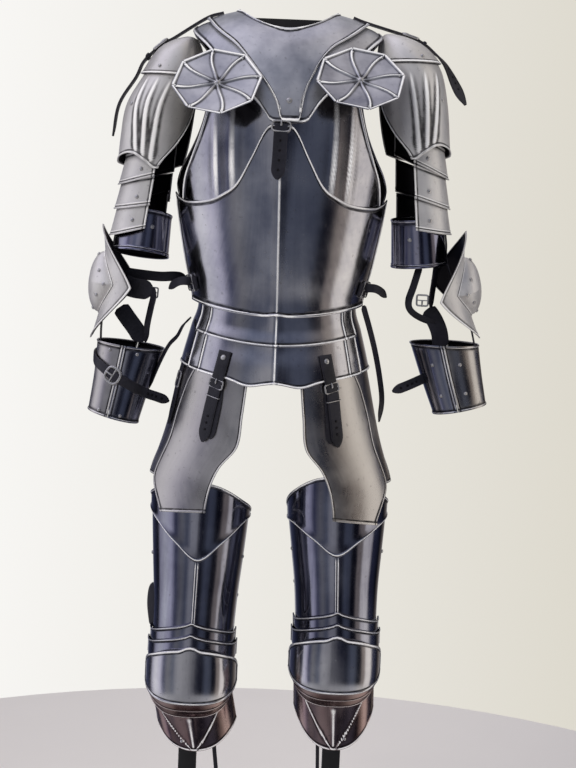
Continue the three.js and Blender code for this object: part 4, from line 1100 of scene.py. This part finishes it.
def cuisse(side):
    lift, veeLift, topLift = (legPoses[side][k] for k in ("lift", "vee", "top"))

    def veeHeight(angle):
        return look(thigh["vee"], angle) + veeLift * np.cos(angle * degree) ** 2

    def place(u, v):
        angle = mix(thigh["inner"], thigh["outer"], u)
        top, vee = look(thigh["top"], angle) + topLift * bell(angle + 45, 70), veeHeight(angle)
        near, far = 0.3, 0.62
        z = np.where(v <= near, mix(top, vee + 5, v / near), np.where(
            v <= far, mix(vee + 5, vee - 4, (v - near) / (far - near)),
            mix(vee - 4, thigh["bottom"] + lift, (v - far) / (1 - far))))
        return legPlace(side, z, angle * degree)

    def relief(u, v, angle, base):
        above = base[..., 2] - veeHeight(angle)
        step = thigh["step"] * np.clip((above + 1.6) / 2.4, 0, 1)
        bead = 1.5 * bell(above - 2.0, 1.7)
        keel = 1.0 * (bell(angle + 2.8, 0.9) + bell(angle - 0.2, 0.9)) * np.clip(-above / 6, 0, 1)
        return step + bead + keel

    vs = np.unique(np.concatenate([samples(9, 50, 4, True, False) * 0.3, np.linspace(0.3, 0.62, 14),
                                   0.62 + 0.38 * samples(22, 130, 3, False, False)]))
    besideKeel = (np.linspace(-6.5, 3.5, 17) - thigh["inner"]) / (thigh["outer"] - thigh["inner"])
    fine = np.concatenate([samples(52, 245, 3.2, True, True), besideKeel])
    plate("cuisse_" + side, legs[side], place, 60, 40, rolls="tlr", roll=(3.8, 1.6), relief=relief,
          us=np.unique(np.round(fine, 4)), vs=vs, side=side, finish="shaded")
    for angle in (-80, 84):
        rivetOn(legs[side], legPlace(side, 712 + veeLift, angle * degree)[0], angle, 0.3, side, radius=3.0)


def kneeLame(side, number, top, bottom, lift):
    def place(u, v):
        angle = mix(-96, 96, u) * degree
        crest = top + 4 * bell(angle, 14 * degree) + 2.5 * bell(angle, 4 * degree)
        z = mix(crest, bottom, v) - 20 * np.sin(angle) ** 2
        return legPlace(side, z + legPoses[side]["lift"], angle)

    plate("knee_lame_%d_%s" % (number, side), legs[side], place, 64, 10, lift, rolls="tlr",
          roll=(3.4, 1.6), side=side, finish="shaded")


knee = {"x": 111, "y": 0, "z": 525, "half": 71, "reach": 87, "taller": 1.6, "square": 0.75, "side": 84}


def kneeForm(taller):
    def surface(down, side):
        down, side = np.broadcast_arrays(down, side)
        wide = knee["half"] * np.sign(side) * np.abs(np.sin(side)) ** knee["square"]
        radius = knee["reach"] * np.abs(np.cos(side)) ** knee["square"]
        rise = -radius * np.sin(down) * np.where(down < 0, taller, 1)
        return np.stack([knee["x"] + wide, knee["y"] - radius * np.cos(down), knee["z"] + rise], -1)
    return surface


copForm, turnedForm = kneeForm(knee["taller"]), kneeForm(1)


def kneePlate(node, side, form, start, end, lift, down, flare=0, cusp=0, rolls="tblr", roll=(3.4, 1.4),
              body="harness", finish="polished"):
    def place(u, v):
        # the columns lie evenly across it, closer only near its sides, where its edges are turned over
        around = (2 * u - 1) * knee["side"]
        first = start - flare * (around / knee["side"]) ** 4 - cusp * bell(around, 5)
        return mix(first, end, v) * degree, around * degree

    plate(node, form, place, 72, down, lift, rolls=rolls, roll=roll, side=side,
          rise=legPoses[side]["lift"], finish=finish, body=body)


shin = {"top": 29, "leave": 41, "half": 62, "front": 66, "tip": 414, "sideFoot": 458, "lift": -3 * layer}


def greave(side):
    lift, footX = legPoses[side]["lift"], legPoses[side]["footX"]
    tip = shin["tip"] - 0.6 * lift

    def surface(at, around):
        at, around = np.broadcast_arrays(at, around)
        s, c = np.sin(around), np.cos(around)
        down = mix(shin["top"], shin["leave"], np.minimum(at, 1)) * degree
        start = lifted(turnedForm, down, around, shin["lift"])
        f = np.clip(at - 1, 0, None)
        foot = np.stack([
            knee["x"] + footX + shin["half"] * np.sign(s) * np.abs(s) ** 0.85,
            knee["y"] - shin["front"] * np.abs(c) ** 0.8 - 3 * bell(around, 10 * degree) * f,
            mix(tip, shin["sideFoot"], np.abs(s) ** 2.2)], -1)
        bend = mix(start, foot, 0.35)
        bend[..., 1] = start[..., 1] + 0.1 * (foot[..., 1] - start[..., 1])
        f = f[..., None]
        return mix(mix(start, bend, f), mix(bend, foot, f), f)

    def place(u, v):
        return 0.02 + 1.98 * v, (2 * u - 1) * knee["side"] * degree

    def flutes(u, v, angle, base):
        f = np.clip(2 * v - 1, 0, 1)
        lines = sum(bell((angle - aside * (1 - f) ** 0.9) * (0.9 + 0.5 * f), 1.5) for aside in (-40, 0, 40))
        return 1.1 * lines * np.clip(f * 6, 0, 1) * np.clip((1 - f) * 14, 0, 1)

    us = np.unique(np.round(np.concatenate([samples(90, 200, 3.2, True, True),
                                            0.5 + np.linspace(-0.05, 0.05, 15)]), 4))
    plate("demi_greave_" + side, surface, place, 90, 36, rolls="blr", roll=(3.2, 1.1), relief=flutes,
          us=us, side=side, rise=lift, finish="browned", body="shin_" + side)
    rivetOn(surface, 1.82, 12, 0.3, side, rise=lift, radius=2.6, body="shin_" + side)


for side in "lr":
    cuisse(side)
    for number, (top, bottom) in enumerate([(620, 594), (602, 576)], 1):
        kneeLame(side, number, top, bottom, number * layer)
    kneePlate("knee_cop_" + side, side, copForm, -25, 17, 0, 40, 20, 2.4, roll=(3.8, 1.5))
    shinBody = "shin_" + side
    kneePlate("shin_lame_1_" + side, side, turnedForm, -14, 28, -layer, 24, rolls="blr", roll=(2.8, 0.55),
              body=shinBody, finish="browned")
    kneePlate("shin_lame_2_" + side, side, turnedForm, 16, 40, -2 * layer, 16, rolls="blr",
              roll=(2.8, 0.9), body=shinBody, finish="browned")
    greave(side)
print("leg plates made")

# Leather straps and their buckles


def torsoLine(rows):
    return [over(torso, float(torsoPlace(z, angle * degree)[0]), angle, out) for z, angle, out in rows]


def flatLine(points, along):
    points = [np.array(p, float) for p in points]
    line = []
    for i, p in enumerate(points):
        before, after = points[max(i - 1, 0)], points[min(i + 1, len(points) - 1)]
        line.append((p, np.cross(after - before, along)))
    return line


def buckleAt(made, share, side="", **shape):
    centre, ahead, normal, _ = made
    j = int(share * (len(centre) - 1))
    buckle(centre[j] + normal[j] * 0.6, ahead[j], normal[j], side=side, **shape)


def keeper(made, share, side="", finish="leather", stout=0.9):
    # a loop round the strap, of leather or of wire
    centre, ahead, normal, aside = made
    j = int(share * (len(centre) - 1))
    across, high = loopOf(28, strapSize["width"] / 2 + 1.6, strapSize["thick"] / 2 + 1.4, 0.3)
    line = centre[j] + across[:, None] * aside[j] + high[:, None] * normal[j]
    line, out = onSide(side, line, ahead[j])
    bar(gather("harness", finish), line, stout, out, closed=True, around=6,
        flat=3.2 if finish == "leather" else 1)


def loose(name, points, facing, width, thickness=2.4, point=14.0, side="", holes=0, body="harness"):
    # a strap's free end, whose face looks one way
    line = [(np.array(p, float), np.array(facing, float)) for p in points]
    return strap(name, line, width, thickness, point, side=side, holes=holes, holeStep=8.0, body=body,
                 startPoint=4)


def breastStrap():
    clear = chest["bibLift"] + strapLie - 0.1
    line = torsoLine([(1361, -1.4, clear + 1), (1342, -1.6, clear + 1), (1317, -1.8, clear),
                      (1284, -2.4, clear)])
    made = strap("breast_strap_leather", line, point=14, node="breast_strap", holes=4, holeStep=13)
    buckleAt(made, 0.08, wide=26, tall=15, thick=1.4, corners=0.5)


def tassetStrap(side):
    onSkirt = -layer + strapLie
    onTasset = onSkirt - layer
    swing = 0 if side == "l" else 1.6  # degrees that the wearer's right one hangs further out
    line = torsoLine([(1033, 31.7, onSkirt), (1005, 32.8, onSkirt + 0.3),
                      (978, 34.5, mix(onSkirt, onTasset, 0.4)),
                      (940, 35 + 0.6 * swing, onTasset + 0.3), (897, 35 + swing, onTasset)])
    made = strap("tasset_strap_%s_leather" % side, line, point=18, node="tasset_strap_" + side, side=side,
                 holes=3)
    buckleAt(made, 0.37, side, wide=23, tall=13, thick=1.2, corners=0.3)
    keeper(made, 0.5, side, finish="fitting", stout=0.7)
    centre, _, normal, _ = made
    rivet(centre[3] + normal[3] * 1.6, normal[3], 4.2, 2.0, side=side)
    under = torsoLine([(984, 32.5, onTasset - 1.2), (950, 32, onTasset - 1.4),
                       (902, 31.2 + swing, onTasset - 1.4)])
    strap("tasset_strap_end_" + side, under, 14, 1.6, 12, side=side)


def waistStrap(side):
    onFront = chest["bibLift"] + strapLie - 0.1
    line = torsoLine([(1128, 62, onFront), (1127, 70, onFront), (1126, 78, onFront), (1125, 88, onFront - 1),
                      (1124, 100, onFront - layer + 0.3), (1123, 114, onFront - layer + 0.3)])
    made = strap("waist_strap_%s_leather" % side, line, point=14, node="waist_strap_" + side, side=side,
                 holes=3, holeStep=9)
    buckleAt(made, 0.24, side, wide=25, tall=17, thick=1.4)
    keeper(made, 0.4, side)
    start = line[1][0]
    tail = [start + (0.5, -2, 1), start + (8, -6, 3), start + (18, -4, 2), start + (27, 3, -3),
            start + (35, 9, -11)]
    loose("waist_strap_tail_" + side, tail, (0.4, -0.9, 0.2), 13, 2.2, 12, side)


def shoulderTop(x):
    near, far = 0.0, 3.0
    for _ in range(24):
        middle = (near + far) / 2
        near, far = (middle, far) if torso(middle, math.pi / 2)[0] < x else (near, middle)
    return float(torso(near, math.pi / 2)[2])


shoulderTails = {"l": [(234, 1462), (252, 1431), (268, 1403)],
                 "r": [(213, 1447), (223, 1425), (247, 1385), (255, 1337)]}


def shoulderStrap(side):
    clear = shoulder["lameLift"][side] + strapLie
    xs = (96, 116 if side == "l" else 121)
    points = [(x, 0, shoulderTop(x) + collarLift + 1.3 + 1.5) for x in xs]
    points += [lifted(shoulders[side], at, math.pi / 2, clear) for at in (0.9, 1.5, 2.1)]
    points += [(x, -4, z) for x, z in shoulderTails[side]]
    line = flatLine(points, (0, 1, 0))
    if side == "l":  # its tail is twisted, so that its face shows from in front
        for k, share in ((-3, 0.3), (-2, 0.75), (-1, 0.8)):  # which point, and its turn in radians
            spot, out = line[k]
            out = out / np.linalg.norm(out)
            line[k] = (spot, out * math.cos(share) - np.array([0, math.sin(share), 0]))
    made = strap("shoulder_strap_%s_leather" % side, line, point=26, node="shoulder_strap_" + side,
                 side=side, holes=4)
    buckleAt(made, 0.4, side, wide=29, tall=24)
    keeper(made, 0.5, side)


def armLeather(side):
    pose = arms[side]
    bow, thickness = 1.5, 1.6

    def inShoulder(z):
        at, angle = shoulderPlace(side, z + shoulder["drop"][side], math.pi / 2)
        return lifted(shoulders[side], at, angle, -2 - bow - thickness)

    def underHoop(z):
        return armX(side, z) + arms["hoopTop"] - (4.5 if side == "l" else 4.74), 0, z

    def onCannon(z):
        return armX(side, arms["cannon"]["z"]) + (37.5 if side == "l" else 36.9) + 0.149 * (1237 - z), 0, z
    radius = elbow["wrap"] + elbow["flare"] * (50 / elbow["tall"]) ** 1.5
    inElbow = elbowTurn(side) @ (radius - 2 - pose["inside"], 0, -50, 1)
    rows = ringSurface(pose["forearm"])
    inForearm = [lifted(rows, at, math.pi / 2, -1.8 - bow - 1.2 - thickness / 2) for at in (0.3, 0.7)]
    points = [inShoulder(1398), inShoulder(1378), underHoop(1340 + 0.9 * shoulder["drop"][side])]
    points += [underHoop(1296), underHoop(1254), onCannon(1230), onCannon(1198), onCannon(1164)]
    points += [inElbow[:3], *inForearm]
    strap("arm_leather_%s_leather" % side, flatLine(points, (0, 1, 0)), 18, thickness,
          node="arm_leather_" + side, side=side)


def thighStrap(side):
    height = 650 + legPoses[side]["lift"]
    line = []
    for angle in (98, 112, 130, 150, 180, 210, 230, 248, 262):
        lift = -2.1 - strapLie if angle < 118 or angle > 242 else -2
        line.append(over(legs[side], float(legPlace(side, height, angle * degree)[0]), angle, lift))
    strap("thigh_strap_%s_leather" % side, line, node="thigh_strap_" + side, side=side)
    for angle in (-98, 101):
        rivetOn(legs[side], float(legPlace(side, height, angle * degree)[0]), angle, 0.2, side, radius=3.2)


# Loose straps at the elbows, forearms and hips, a knee and the shins. Each has its line, from the end that is
# held to the free one, and the way its face looks. The last letter of its name is the wearer's side.
looseStraps = {
    "elbow_inner_r": dict(
        points=[(236, -4, 1118), (218, -8, 1112), (200, -10, 1110), (187, -11, 1108)],
        facing=(-0.2, -1, 0), width=30),
    "elbow_lower_r": dict(
        points=[(238, -4, 1082), (226, -6, 1066), (212, -8, 1048), (202, -8, 1030)],
        facing=(-0.2, -1, 0.1), width=26),
    "elbow_strap_r": dict(
        points=[(189, -10, 1114), (187, -13, 1100), (190, -14, 1084), (195, -14, 1056), (197, -10, 1030)],
        facing=(0.6, -0.8, 0), width=12),
    "elbow_band_r": dict(
        points=[(232, 8, 1134), (206, 12, 1131), (180, 15, 1129), (158, 18, 1130), (141, 28, 1128)],
        facing=(0, -1, 0), width=15),
    "elbow_hanger_l": dict(
        points=[(236, -22, 1172), (234, -24, 1146), (231, -26, 1118), (230, -26, 1100)],
        facing=(0.8, -0.6, 0), width=14),
    "elbow_strap_l": dict(
        points=[(211, -24, 1162), (203, -27, 1132), (197, -27, 1111), (200, -25, 1097), (215, -20, 1086),
                (240, -12, 1077)],
        facing=(-0.55, -0.8, -0.2), width=12),
    "elbow_lower_l": dict(
        points=[(226, -16, 1098), (238, -12, 1082), (247, -10, 1062), (251, -6, 1036)],
        facing=(0.1, -1, 0.1), width=26),
    "forearm_tail_l": dict(
        points=[(233, -19, 996), (222, -24, 992), (205, -27, 984), (179, -26, 972)],
        facing=(-0.1, -1, 0.1), width=15, holes=4),
    "hip_thong_r": dict(
        points=[(130, -8, 1070), (140, -24, 1060), (148, -30, 1044), (160, -28, 1030), (171, -22, 1008),
                (181, -18, 984), (190, -14, 960)],
        facing=(0.9, -0.45, 0.2), width=9),
    "hip_strap_l": dict(
        points=[(129, -24, 1100), (141, -18, 1064), (151, -14, 1030), (160, -12, 990), (165, -10, 955),
                (162, -10, 922)],
        facing=(0.75, -0.66, 0), width=12, thickness=2, point=22),
    "knee_strap_r": dict(
        points=[(171, 8, 650), (177, 6, 641), (178.5, 5, 616), (174, 5, 582)],
        facing=(0.5, -0.86, 0), width=13, point=6),
    "shin_strap_r": dict(
        points=[(53, -8, 500), (66, -7, 486), (75, -4, 462), (74, -3, 430), (72, -2, 398), (66, -1, 345)],
        facing=(0.3, -0.95, 0), width=7, thickness=2, point=6, body="shin_r"),
    "shin_strap_l": dict(
        points=[(54, -8, 516), (72, -7, 502), (86, -4, 476), (89, -3, 440), (91, -2, 405), (93, -1, 352)],
        facing=(0.3, -0.95, 0), width=6, thickness=2, point=6, body="shin_l"),
}


def forearmStrap():
    # it runs slantwise round the right forearm, and its end stands off beyond the buckle
    surface, clear = ringSurface(arms["r"]["forearm"]), 2.8  # how far its middle is over the plate
    line = []
    for angle, z in ((118, 1012), (92, 1008), (64, 1001), (44, 995), (25, 987), (7, 979), (-10, 973),
                     (-28, 966), (-48, 960)):
        at = float(placeAtHeight(surface, z, angle * degree, 0, 2))
        line.append(over(surface, at, angle, clear))
    line.append((np.array((190, -34, 955)), np.array((-0.5, -0.9, 0))))
    line += [(np.array(p, float), np.array((-0.1, -1, 0.1))) for p in ((176, -28, 950), (158, -22, 943))]
    made = strap("forearm_strap_r", line, 15, 2.4, 12, side="r", holes=4, holeStep=8)
    buckleAt(made, 0.47, "r", wide=24, tall=23, thick=2.0, corners=0.75)


def hipStrap():
    onRear = -3 * layer - 0.4 + strapSize["overPlate"] + 1.1
    line = torsoLine([(1006, 76, onRear), (976, 77, onRear), (945, 75.5, onRear), (912, 74, onRear)])
    made = strap("hip_strap_r", line, 18, 2.2, 30, side="r", holes=2)
    buckleAt(made, 0.3, "r", wide=20, tall=24, thick=1.2, corners=0.3)


breastStrap()
for name, shape in looseStraps.items():
    loose(name, side=name[-1], **shape)
# The small buckles of the straps at the left and the right elbow
buckle((217, -29, 1112), (0, 0, 1), (-0.2, -1, 0), 17, 16, 1.4, corners=0.3)
buckle((187, 2, 1105), (0, 0.2, 1), (-0.3, -1, 0), 11, 15, 1.2, "r", corners=0.3)
forearmStrap()
hipStrap()
for side in "lr":
    tassetStrap(side)
    waistStrap(side)
    shoulderStrap(side)
    armLeather(side)
    thighStrap(side)
rivetOn(torso, float(torsoPlace(1393, 1.9 * degree)[0]), 1.9, collarLift + 0.4, radius=4.2)
print("straps made")

# The stand: a board, two posts, the rail and spine inside, and the bar that the gorget rests on
stand = {
    "board": (480, 360, 20), "post": 28, "postX": 115, "postY": 38.2, "hip": 976, "rail": 26,
    "spine": 30, "head": 1508, "yokeDeep": 16, "yokeDrop": 26, "yokeGap": 1.4,
}


def block(bm, width, depth, height, x, y, z, corner=1.2):
    size = Matrix.Diagonal((width * mm, depth * mm, height * mm, 1))
    where = Matrix.Translation(Vector((x, y, z + height / 2)) * mm) @ size
    made = bmesh.ops.create_cube(bm, size=1, matrix=where)["verts"]
    edges = list({edge for vert in made for edge in vert.link_edges})
    bmesh.ops.bevel(bm, geom=edges, offset=corner * mm, affect="EDGES", segments=3, profile=0.5, material=-1)


def standBoard():
    bm = bmesh.new()
    width, depth, height = stand["board"]
    block(bm, width, depth, height, 0, 0, 0, 3)
    linkPiece("stand_board_wood", bm, "paint", "harness", ["stand_board"])


def standFrame():
    bm = bmesh.new()
    post, postX, postY, hip, rail = (stand[k] for k in ("post", "postX", "postY", "hip", "rail"))
    foot, spine = stand["board"][2], stand["spine"]
    for x in (-postX, postX):
        block(bm, post, post, hip + rail - foot, x, postY, foot)
    block(bm, 2 * postX - post, post - 1, rail - 1, 0, postY, hip + 0.5)
    depth = postY + post / 2 + spine / 2
    block(bm, spine - 1, depth - 1, rail - 2, 0, depth / 2 - spine / 2, hip + 1)
    block(bm, spine, spine, stand["head"] - hip - 4, 0, 0, hip)
    top = [torso(at, math.pi / 2) for at in (0.15, 0.5, 0.85, 1.2, 1.5)]
    right = [(p[0], p[2] - stand["yokeGap"]) for p in top]
    right += [(right[-1][0], right[-1][1] - stand["yokeDrop"] / 2), (40, 1470)]
    outline = right + [(-x, z) for x, z in reversed(right)]
    deep = stand["yokeDeep"] / 2
    verts = [bm.verts.new(Vector((x, -deep, z)) * mm) for x, z in outline]
    face = bm.faces.new(verts)
    grown = bmesh.ops.extrude_face_region(bm, geom=[face])["geom"]
    moved = [item for item in grown if isinstance(item, bmesh.types.BMVert)]
    bmesh.ops.translate(bm, verts=moved, vec=(0, 2 * deep * mm, 0))
    linked = list({face for vert in verts + moved for face in vert.link_faces})
    bmesh.ops.recalc_face_normals(bm, faces=linked)
    linkPiece("stand_frame_wood", bm, "paint", "harness", ["stand_frame"])


standBoard()
standFrame()
for (body, finish), bm in gathered.items():
    bmesh.ops.recalc_face_normals(bm, faces=bm.faces)
    label = {"fitting": "rivets_and_buckles", "inside": "strap_holes", "leather": "strap_loops"}[finish]
    linkPiece(label + "_" + body, bm, finish, body)
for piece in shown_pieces():
    if "stand" in piece.name:
        piece.data.set_sharp_from_angle(angle=40 * degree)

# Floor, room and light
floor = {"radius": 1.43, "colour": (0.74, 0.71, 0.68)}
# the wall behind has painted light: pale on the left, a darker beige on the right
wall = {"left": (0.95, 0.94, 0.92), "right": (0.72, 0.69, 0.61)}
tints = {"grey": (1, 1, 1.04), "cream": (1, 0.94, 0.86), "brown": (1, 0.86, 0.76), "navy": (0.5, 0.56, 1.0),
         "blue": (0.72, 0.82, 1.12), "wine": (1, 0.28, 0.36), "lilac": (0.94, 0.92, 1.1)}
# What the steel mirrors, in rings from the floor up: the sine of the angle over the floor where each starts,
# how softly it does, and its stops. A stop is an angle round the object (0 towards the camera, 90 the
# wearer's left), how bright it is there, and its tint.
rings = [
    (-1.0, 0.1, [
        (-180, 0.2, "brown"), (-90, 0.2, "grey"), (-50, 0.26, "brown"), (-28, 0.035, "wine"),
        (30, 0.03, "wine"), (52, 0.28, "brown"), (100, 0.5, "cream"), (140, 0.1, "grey"),
        (180, 0.2, "brown")]),
    (-0.82, 0.05, [
        (-180, 0.5, "grey"), (-130, 0.05, "navy"), (-100, 0.4, "grey"), (-60, 0.5, "grey"),
        (-30, 0.36, "grey"), (0, 0.3, "grey"), (34, 0.45, "grey"), (70, 0.7, "cream"),
        (105, 0.8, "cream"), (130, 0.05, "navy"), (180, 0.5, "grey")]),
    (-0.5, 0.05, [
        (-180, 0.7, "grey"), (-156, 0.12, "navy"), (-122, 0.012, "navy"), (-114, 0.5, "lilac"),
        (-96, 0.8, "grey"), (-72, 0.66, "lilac"), (-60, 0.14, "navy"), (-44, 0.24, "grey"),
        (-28, 0.16, "blue"), (-18, 0.4, "grey"), (-4, 0.34, "grey"), (2, 0.04, "navy"),
        (14, 0.016, "navy"), (24, 0.13, "blue"), (36, 0.1, "blue"), (43, 0.012, "navy"),
        (54, 0.02, "navy"), (60, 0.3, "brown"), (70, 0.3, "brown"), (75, 0.95, "cream"),
        (98, 1.0, "cream"), (106, 0.1, "navy"), (136, 0.012, "navy"), (156, 0.2, "brown"),
        (180, 0.7, "grey")]),
    (0.5, 0.12, [
        (-180, 0.5, "grey"), (-130, 0.3, "grey"), (-110, 1.1, "lilac"), (-60, 0.9, "lilac"),
        (-30, 0.35, "blue"), (0, 0.26, "blue"), (30, 0.22, "blue"), (60, 0.3, "brown"),
        (110, 0.5, "cream"), (150, 0.2, "grey"), (180, 0.5, "grey")]),
    (0.88, 0.08, [
        (-180, 0.75, "lilac"), (-90, 0.95, "lilac"), (-20, 0.55, "lilac"), (40, 0.5, "grey"),
        (90, 0.42, "brown"), (180, 0.75, "lilac")]),
]


def addFloor():
    bm = bmesh.new()
    bmesh.ops.create_circle(bm, cap_ends=True, cap_tris=True, segments=96, radius=floor["radius"])
    mesh = bpy.data.meshes.new("floor")
    bm.to_mesh(mesh)
    bm.free()
    made = bpy.data.objects.new("floor", mesh)
    scene.collection.objects.link(made)
    made.visible_glossy = False
    material, tree, shader, coordinates = newMaterial("pale floor")
    cloud = noise(tree, coordinates["Object"], 3.0, 4.0)
    low, high = tuple(0.94 * c for c in floor["colour"]), floor["colour"]
    feed(tree, shader.inputs["Base Color"], blendColour(tree, cloud, low, high))
    shader.inputs["Roughness"].default_value = 0.6
    mesh.materials.append(material)


def addRoom():
    world = bpy.data.worlds.new("room")
    scene.world = world
    world.use_nodes = True
    tree = world.node_tree
    tree.nodes.clear()
    way = tree.nodes.new("ShaderNodeTexCoord").outputs["Generated"]
    parts = tree.nodes.new("ShaderNodeSeparateXYZ")
    feed(tree, parts.inputs[0], way)
    x, y, z = parts.outputs
    turn = spread(tree, calc(tree, "ARCTAN2", x, times(tree, y, -1.0)), -math.pi, math.pi)
    colour = None
    for start, soft, stops in rings:
        ramp = tree.nodes.new("ShaderNodeValToRGB")
        feed(tree, ramp.inputs[0], turn)
        row = ramp.color_ramp.elements
        row.remove(row[1])
        for k, (angle, bright, tint) in enumerate(stops):
            stop = row[0] if k == 0 else row.new((angle + 180) / 360)
            stop.position = (angle + 180) / 360
            stop.color = (*(bright * part for part in tints[tint]), 1)
        shown = ramp.outputs[0]
        if colour is not None:
            shown = blendColour(tree, spread(tree, z, start - soft, start + soft), colour, shown)
        colour = shown
    # the wall the camera sees, with painted light from pale at left to darker at right
    paper = blendColour(tree, spread(tree, x, -0.2, 0.2), wall["left"], wall["right"])
    seen = tree.nodes.new("ShaderNodeLightPath").outputs["Is Camera Ray"]
    back = tree.nodes.new("ShaderNodeBackground")
    feed(tree, back.inputs["Color"], blendColour(tree, seen, colour, paper))
    output = tree.nodes.new("ShaderNodeOutputWorld")
    tree.links.new(back.outputs[0], output.inputs[0])


lamps = [  # name, place, size, watts, colour
    ("key", (-1.5, -1.9, 2.6), 1.3, 45, (1.0, 0.97, 0.92)),
    ("fill", (2.1, -1.2, 1.9), 1.6, 22, (0.95, 0.97, 1.0)),
    ("back", (0.6, 2.0, 2.4), 1.4, 20, (1.0, 0.98, 0.95)),
]


def addLamps():
    for name, place, size, watts, colour in lamps:
        data = bpy.data.lights.new(name, "AREA")
        data.shape, data.size, data.energy, data.color = "DISK", size, watts, colour
        lamp = bpy.data.objects.new(name, data)
        lamp.visible_glossy = False
        aim = Vector((0, 0, 0.9)) - Vector(place)
        lamp.matrix_world = Matrix.Translation(place) @ aim.to_track_quat("-Z", "Y").to_matrix().to_4x4()
        scene.collection.objects.link(lamp)


addFloor()
addRoom()
addLamps()
scene.view_settings.view_transform = "Standard"
print("room lit")
